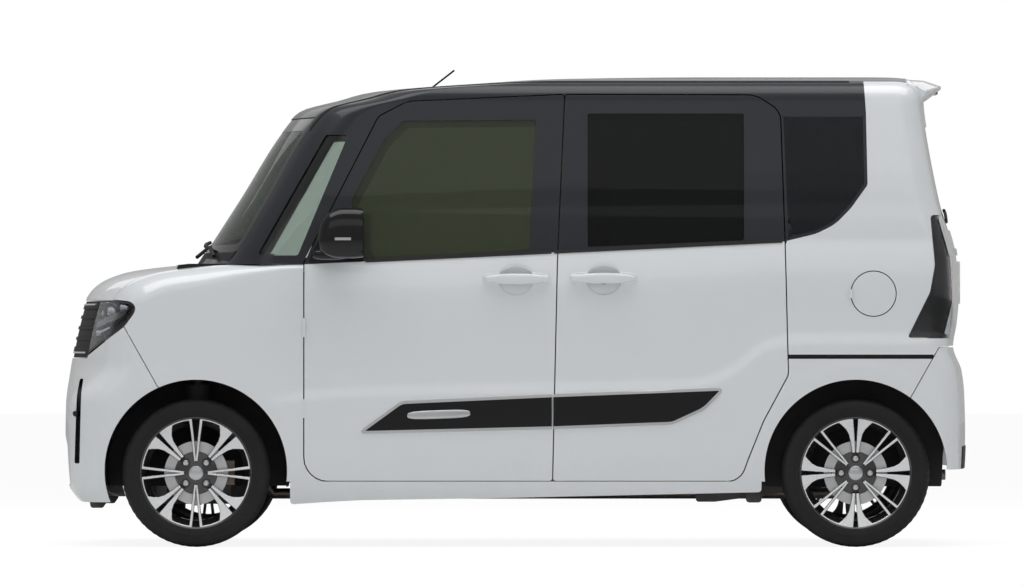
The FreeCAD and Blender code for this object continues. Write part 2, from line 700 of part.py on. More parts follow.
# ---- Fuel lid ----
lid = OUTER.cut(envelope(LID_WALL)).common(across(LID_X, LID_Z, LID_RADIUS, SIDE_Y, FAR))
lid_pin_y = skin_y(LID_PIN_X, LID_Z) - LID_PIN_RADIUS
lid_hinge, lid_notch = hinge(vec(LID_PIN_X, lid_pin_y, LID_Z - LID_PIN_HALF),
                             vec(LID_PIN_X, lid_pin_y, LID_Z + LID_PIN_HALF),
                             LID_GAP + 2, LEFT, LID_PIN_RADIUS)
nodes["fuel_lid"] = kept(lid.cut(lid_notch))
lid_hinge = lid_hinge.common(across(LID_X, LID_Z, LID_RADIUS + LID_GAP, SIDE_Y, FAR))

# ---- Nose, tail and roof ----
centre_zone = box(FIREWALL_X, FAR, -FAR, FAR, 0, FAR)
nose = SHELL.common(centre_zone)
both_arches = fuse([ARCHES, mirrored(ARCHES)])


def plate_pad(x, z, depth):
    """A flat pad that ends at x, with the two bolt holes of a number plate through it."""
    pad = box(min(x, x + depth), max(x, x + depth), -PLATE_HALF, PLATE_HALF, z - PLATE_BELOW, z + PLATE_ABOVE)
    holes = [
        rod(vec(x - 40, y, z), vec(x + 40, y, z), PLATE_HOLE)
        for y in (-PLATE_SPACING / 2, PLATE_SPACING / 2)
    ]
    return pad, fuse(holes)


front_pad, front_holes = plate_pad(FRONT_X, FRONT_PLATE_Z, -PLATE_PAD)
tow_bore = rod(vec(TOW_FACE_X - TOW_DEPTH, TOW_Y, TOW_Z), vec(TOW_FACE_X, TOW_Y, TOW_Z), TOW_RADIUS)
tow_face = rod(vec(TOW_FACE_X, TOW_Y, TOW_Z), vec(FRONT_X + 10, TOW_Y, TOW_Z), 2.2 * TOW_RADIUS)
bumper = nose.common(front_bumper_prism).cut(both_arches).fuse(front_pad)
nodes["front_bumper"] = kept(bumper.cut(front_holes).cut(tow_bore).cut(tow_face))
lamp_band = box(FIREWALL_X, FAR, LAMP_INNER_Y, FAR, 0, FAR)
lamp_clear = box(COWL_X, FAR, 0, BONNET_HALF + SHUT_GAP, BONNET_SEAM_Z, FAR)
lamp = nose.common(headlamp_prism).common(lamp_band).cut(lamp_clear)
nodes["headlamps"] = pair(kept(lamp))
grille_zone = box(COWL_X, FAR, -LAMP_INNER_Y, LAMP_INNER_Y, LAMP_BOTTOM, BONNET_SEAM_Z)
nodes["grille"] = kept(nose.common(grille_zone).cut(front_bumper_prism))

bonnet_skin = OUTER.cut(envelope(BONNET_WALL))
bonnet_zone = box(COWL_X + SHUT_GAP, FAR, -BONNET_HALF, BONNET_HALF, BONNET_SEAM_Z + SHUT_GAP, FAR)
bonnet_pin_z = skin_z(BONNET_PIN_X, BONNET_PIN_Y) - PIN_IN
tailgate_pin_z = skin_z(TAILGATE_X, TAILGATE_PIN_Y) - PIN_IN
bonnet_hinge, bonnet_notch = hinge(vec(BONNET_PIN_X, BONNET_PIN_Y, bonnet_pin_z),
                                   vec(BONNET_PIN_X, BONNET_PIN_Y + HINGE_LENGTH, bonnet_pin_z),
                                   -SHUT_GAP, UP)
bonnet = bonnet_skin.common(bonnet_zone).cut(bonnet_notch).cut(mirrored(bonnet_notch))
nodes["bonnet"] = kept(bonnet)

roof_zone = box(TAILGATE_X + TAILGATE_GAP, FRONT_AXLE_X, -ROOF_HALF, ROOF_HALF, HEIGHT - 300, FAR)
roof_skin = OUTER.cut(envelope(ROOF_WALL))
nodes["roof_panel"] = kept(roof_skin.common(roof_zone).cut(screen_prism))
nodes["windscreen"] = kept(GLAZING.common(screen_prism), LEAST_GLASS)

cowl_top = SHELL.common(box(FIREWALL_X, COWL_X, -BONNET_HALF - SHUT_GAP, BONNET_HALF + SHUT_GAP, 0, FAR))
cowl_top = cowl_top.common(box(FIREWALL_X, COWL_X, -FAR, FAR, SHOULDER_Z - 100, PILLAR_BASE_Z + 60))
cowl_top = cowl_top.cut(screen_prism).cut(box(-FAR, FIREWALL_X + 100, -FAR, FAR, 0, FAR))
cowl_shelf = INNER.common(box(FIREWALL_X, COWL_X - 20, -FAR, FAR, SHELF_UNDER_Z, SHELF_Z))
nodes["cowl_panel"] = kept(fuse([cowl_top, cowl_shelf]))

tail_shell = SHELL.common(box(-FAR, TAILGATE_X, -TAIL_HALF, TAIL_HALF, BUMPER_TOP_REAR + SHUT_GAP, FAR))
REAR_WINDOW = [
    (-TAIL_HALF + 60, SHOULDER_Z + 180, 40),
    (TAIL_HALF - 60, SHOULDER_Z + 180, 40),
    (TAIL_HALF - 90, GLASS_TOP - 20, 40),
    (-TAIL_HALF + 90, GLASS_TOP - 20, 40),
]
rear_window = front_prism(REAR_WINDOW, -FAR, TAILGATE_X - 20)
tailgate_hinge, tailgate_notch = hinge(vec(TAILGATE_X, TAILGATE_PIN_Y, tailgate_pin_z),
                                       vec(TAILGATE_X, TAILGATE_PIN_Y + HINGE_LENGTH, tailgate_pin_z),
                                       TAILGATE_GAP, UP)
rear_pad, rear_holes = plate_pad(REAR_PLATE_X, REAR_PLATE_Z, PLATE_PAD)
tailgate = tail_shell.cut(rear_window).fuse(rear_pad).cut(rear_holes)
tailgate = tailgate.cut(tailgate_notch).cut(mirrored(tailgate_notch))
nodes["tailgate"] = kept(tailgate)
nodes["tailgate_glass"] = kept(GLAZING.common(rear_window), LEAST_GLASS)
tail_lamp = LEFT_SHELL.common(tail_lamp_prism).cut(rear_bumper_prism)
nodes["tail_lamps"] = pair(kept(tail_lamp))
rear_zone = box(-FAR, REAR_AXLE_X, -FAR, FAR, 0, FAR)
nodes["rear_bumper"] = kept(SHELL.common(rear_zone).common(rear_bumper_prism).cut(both_arches))

# ---- Floor, firewall and arch liners ----
floor = CORE.common(box(STEP_X, FIREWALL_X + 15, -FAR, FAR, FLOOR_Z, SILL_TOP))
floor_step = CORE.common(box(STEP_X - 20, STEP_X, -FAR, FAR, FLOOR_Z, LOAD_FLOOR_Z))
load_floor = INNER.common(box(REAR_X + WALL, STEP_X, -FAR, FAR, LOAD_UNDER_Z, LOAD_FLOOR_Z))
firewall = INNER.common(box(FIREWALL_X, FIREWALL_X + 15, -FAR, FAR, SILL_TOP, SHELF_UNDER_Z))
liner_shapes = []
for x, y in ARCH_CENTRES:
    outer = across(x, ARCH_Z, ARCH_RADIUS + LINER, y - LINER, FAR).common(INNER)
    liner_shapes.append(outer.cut(across(x, ARCH_Z, ARCH_RADIUS, y, FAR)))
liner_tools = fuse([across(x, ARCH_Z, ARCH_RADIUS + LINER, y - LINER, FAR) for x, y in ARCH_CENTRES])
liner_tools = fuse([liner_tools, mirrored(liner_tools)])
floor_pan = fuse([floor, floor_step, load_floor, firewall]).cut(liner_tools)
nodes["floor_pan"] = kept(floor_pan)
liners = Part.makeCompound(liner_shapes).common(box(-FAR, FAR, -FAR, FAR, ARCH_Z - 60, FAR))
nodes["arch_liners"] = pair(kept(liners, 500))


paired_hinges = Part.makeCompound(door_hinges + [bonnet_hinge, tailgate_hinge])
nodes["hinge_pins"] = Part.makeCompound(paired_hinges.Solids + mirrored(paired_hinges).Solids + [lid_hinge])

# ---- Wheels ----
# Columns: across, out from the wheel's centre, corner radius.
TYRE_PROFILE = [
    (-RIM_HALF + FLANGE + FIT, BEAD_RADIUS + FIT, 0),
    (-RIM_HALF + FLANGE + FIT, RIM_RADIUS + 1, 0),
    (-HALF_TYRE + 3, RIM_RADIUS + 5, 6),
    (-HALF_TYRE, TYRE_RADIUS - 36, 20),
    (-HALF_TYRE + 4, TYRE_RADIUS - 12, 10),
    (-HALF_TYRE + 20, TYRE_RADIUS, 8),
    (HALF_TYRE - 20, TYRE_RADIUS, 8),
    (HALF_TYRE - 4, TYRE_RADIUS - 12, 10),
    (HALF_TYRE, TYRE_RADIUS - 36, 20),
    (HALF_TYRE - 3, RIM_RADIUS + 5, 6),
    (RIM_HALF - FLANGE - FIT, RIM_RADIUS + 1, 0),
    (RIM_HALF - FLANGE - FIT, BEAD_RADIUS + FIT, 0),
]
RIM_PROFILE = [
    (-RIM_HALF, BEAD_RADIUS - RIM_DEPTH + 6, 0),
    (-RIM_HALF, RIM_RADIUS, 0),
    (-RIM_HALF + FLANGE, RIM_RADIUS, 0),
    (-RIM_HALF + FLANGE, BEAD_RADIUS, 0),
    (RIM_HALF - FLANGE, BEAD_RADIUS, 0),
    (RIM_HALF - FLANGE, RIM_RADIUS, 0),
    (RIM_HALF, RIM_RADIUS, 0),
    (RIM_HALF, BEAD_RADIUS - RIM_DEPTH + 6, 0),
]


def turned(rows):
    """A ring with the given cross-section, turned about Y."""
    face = Part.Face(outline(rows, lambda a, b: vec(0, a, b)))
    return face.revolve(vec(0, 0, 0), vec(0, 1, 0), 360)


def rim_body():
    """A rim with its spokes, hub and brake disc, outer side towards +Y."""
    face = across(0, 0, BEAD_RADIUS - 4, FACE_IN, FACE_OUT)
    for index in range(SPOKES):
        middle = 2 * math.pi * (index + 0.5) / SPOKES
        half_in = math.pi / SPOKES - SPOKE_HALF / SPOKE_INNER
        half_out = math.pi / SPOKES - SPOKE_HALF / SPOKE_OUTER
        corners = [
            (SPOKE_INNER, middle - half_in),
            (SPOKE_OUTER, middle - half_out),
            (SPOKE_OUTER, middle + half_out),
            (SPOKE_INNER, middle + half_in),
        ]
        rows = [(radius * math.cos(turn), radius * math.sin(turn), 6) for radius, turn in corners]
        face = face.cut(side_prism(rows, FACE_IN - 5, FACE_OUT + 5))
    hub = across(0, 0, HUB_WALL, DISC_IN, FACE_OUT)
    disc = across(0, 0, DISC_RADIUS, DISC_IN, DISC_OUT)
    bore = across(0, 0, STUB_RADIUS + FIT, DISC_IN - 5, FACE_OUT - 18)
    return fuse([turned(RIM_PROFILE), face, hub, disc]).cut(bore)


tyre = turned(TYRE_PROFILE)
rim = rim_body()
for end, x in (("front", FRONT_AXLE_X), ("rear", REAR_AXLE_X)):
    for side, place in (("left", lambda s: s), ("right", mirrored)):
        move = vec(x, WHEEL_Y, WHEEL_Z)
        nodes["tyre_" + end + "_" + side] = place(tyre.translated(move))
        nodes["wheel_" + end + "_" + side] = place(rim.translated(move))

# ---- Front suspension ----


def knuckle():
    """A steering knuckle: upright, stub axle, brake caliper and its two pivots."""
    upright = rod(vec(FRONT_AXLE_X, KINGPIN_Y, WHEEL_Z - POST_HALF),
                  vec(FRONT_AXLE_X, KINGPIN_Y, WHEEL_Z + POST_HALF), POST_RADIUS)
    pivots = rod(vec(FRONT_AXLE_X, KINGPIN_Y, WHEEL_Z - POST_HALF - BALL_REACH),
                 vec(FRONT_AXLE_X, KINGPIN_Y, WHEEL_Z + POST_HALF + BALL_REACH), BALL_RADIUS)
    stub = across(FRONT_AXLE_X, WHEEL_Z, STUB_RADIUS, KINGPIN_Y, WHEEL_Y + FACE_OUT - 19)
    carrier = box(FRONT_AXLE_X - DISC_RADIUS - 12, FRONT_AXLE_X, KINGPIN_Y - 12, KINGPIN_Y + 12,
                  WHEEL_Z - 30, WHEEL_Z + 30)
    caliper = box(FRONT_AXLE_X - DISC_RADIUS - 22, FRONT_AXLE_X - 74, KINGPIN_Y - 8, WHEEL_Y + DISC_OUT + 20,
                  WHEEL_Z - 45, WHEEL_Z + 45)
    slot = across(FRONT_AXLE_X, WHEEL_Z, DISC_RADIUS + 5, WHEEL_Y + DISC_IN - 5, WHEEL_Y + DISC_OUT + 5)
    bridge = fuse([caliper.cut(slot), carrier])
    return fuse([upright, pivots, stub, bridge])


for side, place in (("left", lambda s: s), ("right", mirrored)):
    nodes["knuckle_" + side] = place(knuckle())


def eye(z):
    """The ring of an arm that holds one end of the kingpin."""
    return rod(vec(FRONT_AXLE_X, KINGPIN_Y, z - EYE_HALF),
               vec(FRONT_AXLE_X, KINGPIN_Y, z + EYE_HALF), EYE_RADIUS)


def eye_bore(z):
    return rod(vec(FRONT_AXLE_X, KINGPIN_Y, z - 40), vec(FRONT_AXLE_X, KINGPIN_Y, z + 40), BALL_RADIUS + FIT)


lower_arm = fuse([
    eye(EYE_LOW),
    box(FRONT_AXLE_X - 16, FRONT_AXLE_X + 16, RAIL_Y1 - 20, KINGPIN_Y,
        EYE_LOW - EYE_HALF, EYE_LOW + EYE_HALF),
]).cut(eye_bore(EYE_LOW))
strut = fuse([
    eye(EYE_HIGH),
    box(FRONT_AXLE_X - 16, FRONT_AXLE_X + 16, STRUT_Y, KINGPIN_Y, EYE_HIGH - EYE_HALF, EYE_HIGH + EYE_HALF),
    rod(vec(FRONT_AXLE_X, STRUT_Y, EYE_HIGH - 40), vec(FRONT_AXLE_X, STRUT_Y, STRUT_TOP), STRUT_RADIUS),
    rod(vec(FRONT_AXLE_X, STRUT_Y, EYE_HIGH + 60), vec(FRONT_AXLE_X, STRUT_Y, ARCH_Z + ARCH_RADIUS - 20),
        SPRING_RADIUS),
]).cut(eye_bore(EYE_HIGH))
strut_hole = rod(vec(FRONT_AXLE_X, STRUT_Y, ARCH_Z), vec(FRONT_AXLE_X, STRUT_Y, FAR), STRUT_RADIUS + FIT)
nodes["front_struts"] = pair(strut)
axle_hole = across(REAR_AXLE_X, WHEEL_Z, STUB_RADIUS + 30, -FAR, FAR)
nodes["arch_liners"] = nodes["arch_liners"].cut(fuse([strut_hole, mirrored(strut_hole), axle_hole]))
rail = INNER.common(box(FIREWALL_X + 15, FAR, RAIL_Y0, RAIL_Y1, RAIL_Z0, RAIL_Z1))
posts = [
    box(x, x + POST_WIDTH, RAIL_Y0, RAIL_Y1, CRADLE_Z0, RAIL_Z0)
    for x in (CRADLE_X0, CRADLE_X1 - POST_WIDTH)
]
half_cradle = fuse([rail, lower_arm] + posts)
cradle_plate = box(CRADLE_X0, CRADLE_X1, -RAIL_Y1, RAIL_Y1, CRADLE_Z0, CRADLE_Z1)
nodes["front_cradle"] = fuse([half_cradle, mirrored(half_cradle), cradle_plate])

# ---- Engine, tank and exhaust ----
engine = box(ENGINE_X0, ENGINE_X1, -ENGINE_HALF, ENGINE_HALF, ENGINE_Z, ENGINE_TOP)
feet = [
    box(x, x + 80, y - 40, y + 40, CRADLE_Z1, ENGINE_Z)
    for x in (ENGINE_X0 + 20, ENGINE_X0 + 300)
    for y in (-ENGINE_HALF + 60, ENGINE_HALF - 60)
]
nodes["engine_block"] = fuse([engine] + feet)
route = [
    vec(ENGINE_X0, EXHAUST_Y, ENGINE_Z + 70),
    vec(ENGINE_X0 - 90, EXHAUST_Y, EXHAUST_Z),
    vec(BEAM_X - 60, EXHAUST_Y, EXHAUST_Z),
    vec(SILENCER_X1, EXHAUST_Y, SILENCER_Z),
    vec(SILENCER_X1 - 40, EXHAUST_Y, SILENCER_Z),
]
pipes = [rod(route[i], route[i + 1], PIPE_RADIUS) for i in range(len(route) - 1)]
bends = [Part.makeSphere(PIPE_RADIUS, point) for point in route[1:-1]]
silencer = box(SILENCER_X0, SILENCER_X1, EXHAUST_Y - 230, EXHAUST_Y + 60, SILENCER_Z - 65, SILENCER_Z + 65)
silencer = silencer.makeFillet(40, silencer.Edges)
silencer_middle = vec(SILENCER_X0 + 120, EXHAUST_Y - 80, SILENCER_Z)
hangers = [
    rod(silencer_middle, vec(silencer_middle.x, silencer_middle.y, LOAD_UNDER_Z), HANGER_RADIUS),
    rod(vec(0, EXHAUST_Y, EXHAUST_Z), vec(0, EXHAUST_Y, FLOOR_Z), HANGER_RADIUS),
]
tail_start = vec(SILENCER_X0 + 40, EXHAUST_Y - 170, SILENCER_Z - 45)
tail_pipe = rod(tail_start, tail_start.sub(vec(80, 0, 0)), PIPE_RADIUS)
nodes["exhaust"] = fuse(pipes + bends + [silencer, tail_pipe] + hangers).cut(engine)
tank = box(BEAM_X + 60, TANK_X1, -430, 430, 232, LOAD_UNDER_Z)
nodes["fuel_tank"] = tank.makeFillet(18, [edge for edge in tank.Edges if edge.CenterOfMass.z < 400])

# ---- Rear axle ----
arm = side_prism([
    (REAR_AXLE_X - 40, WHEEL_Z - 35, 10),
    (REAR_AXLE_X - 40, WHEEL_Z + 40, 10),
    (REAR_AXLE_X + 60, WHEEL_Z + 40, 10),
    (STEP_X - 30, FLOOR_Z, 0),
    (STEP_X + 90, FLOOR_Z, 0),
    (STEP_X + 90, FLOOR_Z - 45, 10),
    (STEP_X + 20, FLOOR_Z - 45, 10),
], ARM_Y - 25, ARM_Y + 25)
half_axle = fuse([
    arm,
    across(REAR_AXLE_X, WHEEL_Z, STUB_RADIUS, ARM_Y, WHEEL_Y + FACE_OUT - 19),
    rod(vec(REAR_AXLE_X, ARM_Y, WHEEL_Z), vec(REAR_AXLE_X, ARM_Y, LOAD_UNDER_Z), 22),
])
beam = across(BEAM_X, WHEEL_Z, BEAM_RADIUS, -ARM_Y, ARM_Y)
nodes["rear_axle"] = fuse([half_axle, mirrored(half_axle), beam])

# ---- Cabin ----


def seat(x, y, half_width, cushion_z, back_top, base_z):
    """A seat on a plain base: cushion and leaning back in one solid. x is where cushion and back meet."""
    side = side_prism([
        (x + 30, base_z, 0),
        (x + 440, base_z, 0),
        (x + 470, cushion_z - 110, 20),
        (x + 500, cushion_z, 40),
        (x + 20, cushion_z - 30, 40),
        (x - 130, back_top, 40),
        (x - 250, back_top - 10, 40),
        (x - 110, cushion_z - 120, 30),
    ], y - half_width, y + half_width)
    return side


seat_shape = seat(SEAT_BACK_X, SEAT_Y, SEAT_HALF, 690.0, 1230.0, SILL_TOP)
headrest = box(SEAT_BACK_X - 245, SEAT_BACK_X - 145, SEAT_Y - HEADREST_HALF, SEAT_Y + HEADREST_HALF,
               HEADREST_Z0, HEADREST_Z1)
headrest = headrest.makeFillet(30, headrest.Edges)
nodes["front_seats"] = pair(fuse([seat_shape, headrest]))
bench = seat(REAR_SEAT_X, 0, REAR_SEAT_HALF, 690.0, 1200.0, LOAD_FLOOR_Z)
bench_base = box(STEP_X, REAR_SEAT_X + 400, -REAR_SEAT_HALF + 40, REAR_SEAT_HALF - 40,
                 SILL_TOP, LOAD_FLOOR_Z + 20)
nodes["rear_seat"] = fuse([bench, bench_base])

DASH = envelope(WALL + 10)
dash = side_prism([
    (FIREWALL_X, 720, 0),
    (FIREWALL_X - 170, 690, 30),
    (FIREWALL_X - 230, 820, 40),
    (FIREWALL_X - 215, SHOULDER_Z - 20, 50),
    (FIREWALL_X - 60, SHOULDER_Z + 25, 100),
    (FIREWALL_X + 250, SHOULDER_Z + 5, 0),
    (FIREWALL_X + 250, SHELF_Z, 0),
    (FIREWALL_X, SHELF_Z, 0),
], -FAR, FAR)
nodes["dashboard"] = dash.common(DASH)
hub_point = vec(FIREWALL_X - 330, STEERING_Y, 950)
column_end = vec(FIREWALL_X - 180, STEERING_Y, 870)
column_axis = column_end.sub(hub_point)
ring = Part.makeTorus(180, 14, hub_point, column_axis)
column = rod(hub_point, column_end, 32)
spoke = rod(hub_point.sub(vec(0, 175, 0)), hub_point.add(vec(0, 175, 0)), 12)
nodes["steering_wheel"] = fuse([ring, column, spoke]).cut(dash)

os.makedirs("parts", exist_ok=True)
for name, shape in nodes.items():
    shape.exportStep("parts/" + name + ".step")
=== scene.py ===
import json
import math

import bmesh
import bpy
import numpy as np
from mathutils import Matrix, Vector


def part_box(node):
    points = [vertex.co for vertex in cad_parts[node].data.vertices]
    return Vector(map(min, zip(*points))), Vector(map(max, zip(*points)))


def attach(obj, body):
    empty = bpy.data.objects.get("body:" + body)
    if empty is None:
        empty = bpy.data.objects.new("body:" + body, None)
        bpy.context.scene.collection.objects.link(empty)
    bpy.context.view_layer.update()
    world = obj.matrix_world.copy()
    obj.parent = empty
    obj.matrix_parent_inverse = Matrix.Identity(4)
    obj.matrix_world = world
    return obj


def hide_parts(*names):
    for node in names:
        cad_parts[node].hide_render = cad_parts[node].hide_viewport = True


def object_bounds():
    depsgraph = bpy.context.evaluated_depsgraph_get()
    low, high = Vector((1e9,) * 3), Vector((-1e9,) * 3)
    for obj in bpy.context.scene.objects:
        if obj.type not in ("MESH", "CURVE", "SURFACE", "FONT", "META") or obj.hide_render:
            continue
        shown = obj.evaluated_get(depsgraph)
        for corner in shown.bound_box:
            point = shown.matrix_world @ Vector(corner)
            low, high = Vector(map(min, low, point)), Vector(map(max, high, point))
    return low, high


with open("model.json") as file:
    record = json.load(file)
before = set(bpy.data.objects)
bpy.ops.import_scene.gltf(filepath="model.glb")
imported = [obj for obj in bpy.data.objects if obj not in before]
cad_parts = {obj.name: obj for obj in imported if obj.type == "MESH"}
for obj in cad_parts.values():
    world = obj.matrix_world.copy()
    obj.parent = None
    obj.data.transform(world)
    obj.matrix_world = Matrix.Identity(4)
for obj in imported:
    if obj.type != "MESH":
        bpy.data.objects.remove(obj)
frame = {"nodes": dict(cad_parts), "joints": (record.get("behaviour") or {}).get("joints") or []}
cad_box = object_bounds()

# Metres. +X forward, +Y to the car's left, +Z up, the ground at zero.
PINS = {joint["name"]: Vector(joint["pos_m"]) for joint in frame["joints"]}
NOSE = cad_box[1][0]
TAIL = cad_box[0][0]
ROOF = cad_box[1][2]
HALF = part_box("body_sides")[1].y
FRONT = PINS["wheel_front_left_spin"].x
REAR = PINS["wheel_rear_left_spin"].x
AXLE_Z = PINS["wheel_front_left_spin"].z
TYRE_R = (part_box("tyre_front_left")[1].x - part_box("tyre_front_left")[0].x) / 2
HINGE_X = PINS["front_door_left_hinge"].x
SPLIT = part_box("front_door_left")[0].x + 0.041
SLIDE_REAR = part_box("sliding_doors")[0].x + 0.008
GATE_X = PINS["tailgate_hinge"].x
COWL = PINS["bonnet_hinge"].x - 0.008
ROOF_HALF = HALF - 0.160
TAIL_HALF = HALF - 0.140
BONNET_HALF = HALF - 0.135
LAMP_Y = HALF - 0.270
ARCH_R = 0.339
ARCH_Z = AXLE_Z + 0.008
SHOULDER = 1.000
GLASS_TOP = ROOF - 0.165
DOOR_TOP = ROOF - 0.076
# Cutting tools: where the side tools start, where the front tools end, and the lowest row of the surfaces.
TOOL_Y = 0.3
FAR = 3.0
BOTTOM = 0.140


# ---- Curves and sections ----
def eased(rows, at):
    """Columns of a table at the given keys, which are its first column. The curves are smooth and don't overshoot."""
    table = np.array(rows, float)
    key = table[:, 0]
    at = np.clip(np.asarray(at, float), key[0], key[-1])
    step = np.diff(key)
    found = np.clip(np.searchsorted(key, at, side="right") - 1, 0, len(step) - 1)
    share = (at - key[found]) / step[found]
    columns = []
    for value in table[:, 1:].T:
        slope = np.diff(value) / step
        tangent = np.zeros(len(key))
        tangent[0] = slope[0]
        tangent[-1] = slope[-1]
        for i in range(1, len(slope)):
            if slope[i - 1] * slope[i] > 0:
                tangent[i] = 2 * slope[i - 1] * slope[i] / (slope[i - 1] + slope[i])
        a, b = value[found], value[found + 1]
        run = step[found]
        columns.append(
            a * (2 * share**3 - 3 * share**2 + 1) + b * (3 * share**2 - 2 * share**3)
            + tangent[found] * run * (share**3 - 2 * share**2 + share)
            + tangent[found + 1] * run * (share**3 - share**2))
    return columns


def ramp(value, low, high):
    """0 below low, 1 above high, and a smooth rise between."""
    share = np.clip((value - low) / (high - low), 0, 1)
    return share * share * (3 - 2 * share)


# Columns: key, height, in from the half width, back from the front axle to the screen, forward from the tail.
TALL = [
    (0.140, 0.140, 0.050, -0.053, 0.048),
    (0.230, 0.230, 0.018, -0.053, 0.010),
    (0.420, 0.420, 0.003, -0.053, 0.001),
    (0.560, 0.560, 0.002, -0.053, 0.004),
    (0.652, 0.652, 0.003, -0.053, 0.014),
    (0.745, 0.745, 0.004, -0.053, 0.046),
    (0.836, 0.836, 0.005, -0.053, 0.032),
    (0.928, 0.928, 0.006, -0.053, 0.025),
    (1.000, 1.000, 0.008, -0.053, 0.028),
    (1.090, 1.090, 0.013, 0.005, 0.036),
    (1.295, 1.295, 0.037, 0.137, 0.094),
    (1.586, 1.586, 0.074, 0.324, 0.149),
    (1.632, 1.632, 0.080, 0.372, 0.155),
    (1.672, 1.670, 0.087, 0.512, 0.158),
    (1.708, 1.700, 0.102, 0.627, 0.165),
    (1.752, 1.725, 0.136, 0.937, 0.182),
    (1.860, 1.745, 0.240, 1.267, 0.215),
    (2.010, 1.7535, 0.390, 1.687, 0.300),
    (2.180, 1.7548, 0.560, 1.830, 0.420),
    (2.3575, 1.755, 0.7375, 1.930, 0.560),
]
# Columns: height, in from the half width, back from the nose.
NOSE_WALL = [
    (0.140, 0.050, 0.092),
    (0.170, 0.036, 0.050),
    (0.230, 0.018, 0.012),
    (0.420, 0.003, 0.000),
    (0.560, 0.002, 0.003),
    (0.652, 0.003, 0.014),
    (0.745, 0.004, 0.030),
    (0.836, 0.005, 0.050),
    (0.928, 0.006, 0.076),
    (1.000, 0.008, 0.105),
    (1.060, 0.012, 0.135),
]
# Columns: back from the nose, height of the bonnet's middle line.
BONNET_LINE = [
    (-0.150, 0.800),
    (0.000, 0.866),
    (0.045, 0.894),
    (0.068, 0.918),
    (0.099, 0.960),
    (0.150, 0.996),
    (0.240, 1.026),
    (0.360, 1.043),
    (0.482, 1.053),
    (0.800, 1.056),
    (1.200, 1.056),
]
# Columns: x, height of the crease along the doors' lower half.
CREASE = [
    (TAIL, 0.760), (REAR + 0.20, 0.760), (REAR + 0.33, 0.735), (REAR + 0.46, 0.640), (REAR + 0.60, 0.590),
    (HINGE_X - 0.20, 0.562), (HINGE_X + 0.05, 0.540), (HINGE_X + 0.30, 0.500), (NOSE, 0.500),
]
# Points round the plan: nose bow and corner, straight side, tail bow and corner.
NOSE_POINTS = (14, 16)
SIDE_COLUMNS = 110
TAIL_POINTS = (12, 10)
NOSE_BOW = 1.5
TAIL_END = (5.0, 0.08, -1, *TAIL_POINTS)


def belt(x):
    """Height of the line between the white doors and the dark glasshouse."""
    return 1.050 + 0.0475 * np.clip(HINGE_X - x, 0, 1.80)


def plan(half, ends):
    """Half of the body's outline at one height, from the nose's middle by the left side to the tail's middle.
    Columns of ends: x, bow radius, corner radius, direction, points on the bow, points on the corner."""
    parts = []
    for end_x, bow, corner, sign, bow_count, corner_count in ends:
        corner = min(corner, 0.8 * half)
        reach = half - corner
        turn = math.asin(min(1.0, reach / (bow - corner)))
        centre = end_x - sign * bow
        corner_x = centre + sign * math.sqrt((bow - corner) ** 2 - reach**2)
        sweep = np.linspace(0, turn, bow_count, endpoint=False)
        round_off = np.linspace(turn, math.pi / 2, corner_count, endpoint=False)
        x = np.concatenate([centre + sign * bow * np.cos(sweep),
                            corner_x + sign * corner * np.cos(round_off)])
        y = np.concatenate([bow * np.sin(sweep), reach + corner * np.sin(round_off)])
        lean = np.concatenate([np.sin(sweep), np.sin(round_off)])
        parts.append((x, y, lean, corner_x))
    front, rear = parts
    side = np.linspace(front[3], rear[3], SIDE_COLUMNS)
    x = np.concatenate([front[0], side, rear[0][::-1]])
    y = np.concatenate([front[1], np.full(SIDE_COLUMNS, half), rear[1][::-1]])
    lean = np.concatenate([front[2], np.ones(SIDE_COLUMNS), rear[2][::-1]])
    return x, y, lean


def sculpt(x, y, z, lean, shoulder=True):
    """Moves the plain wall in and out: the shoulder under the belt, the door crease and the arches' lips."""
    below = belt(x) - z
    inward = np.zeros_like(x)
    if shoulder:
        inward += 0.016 * np.clip(1 - below / 0.17, 0, 1) ** 2 * (below > 0)
        inward += 0.016 * np.clip(1 + below / 0.26, 0, 1) * (below <= 0)
    line = eased(sorted(CREASE), x)[0]
    fade = 1 - ramp(x, HINGE_X, HINGE_X + 0.2)
    inward += 0.0085 * fade * ramp(z, line - 0.010, line + 0.042) * (1 - ramp(z, line + 0.05, line + 0.45))
    for axle in (FRONT, REAR):
        away = np.hypot(x - axle, z - ARCH_Z)
        inward += 0.004 * ramp(away, ARCH_R + 0.028, ARCH_R + 0.075) - 0.004
    return x, y - np.clip(inward, -0.002, 1) * lean, z


def tall_surface():
    """The cabin, doors and tail, as rows of points from the sills to the roof's middle line."""
    keys = np.concatenate([np.arange(BOTTOM, 1.640, 0.0125), np.arange(1.640, 1.860, 0.010),
                           np.linspace(1.86, 2.3575, 16)])
    height, narrow, back, ahead = eased(TALL, keys)
    rows = []
    for z, inset, screen, tail in zip(height, narrow, back, ahead):
        half = max(HALF - inset, 0.0004)
        x, y, lean = plan(half, ((FRONT - screen, 1.48, 0.20, 1, *NOSE_POINTS), (TAIL + tail, *TAIL_END)))
        rows.append(sculpt(x, y, np.full_like(x, z), lean if half > 0.6 else lean * 0))
    return [np.array(column) for column in zip(*rows)]


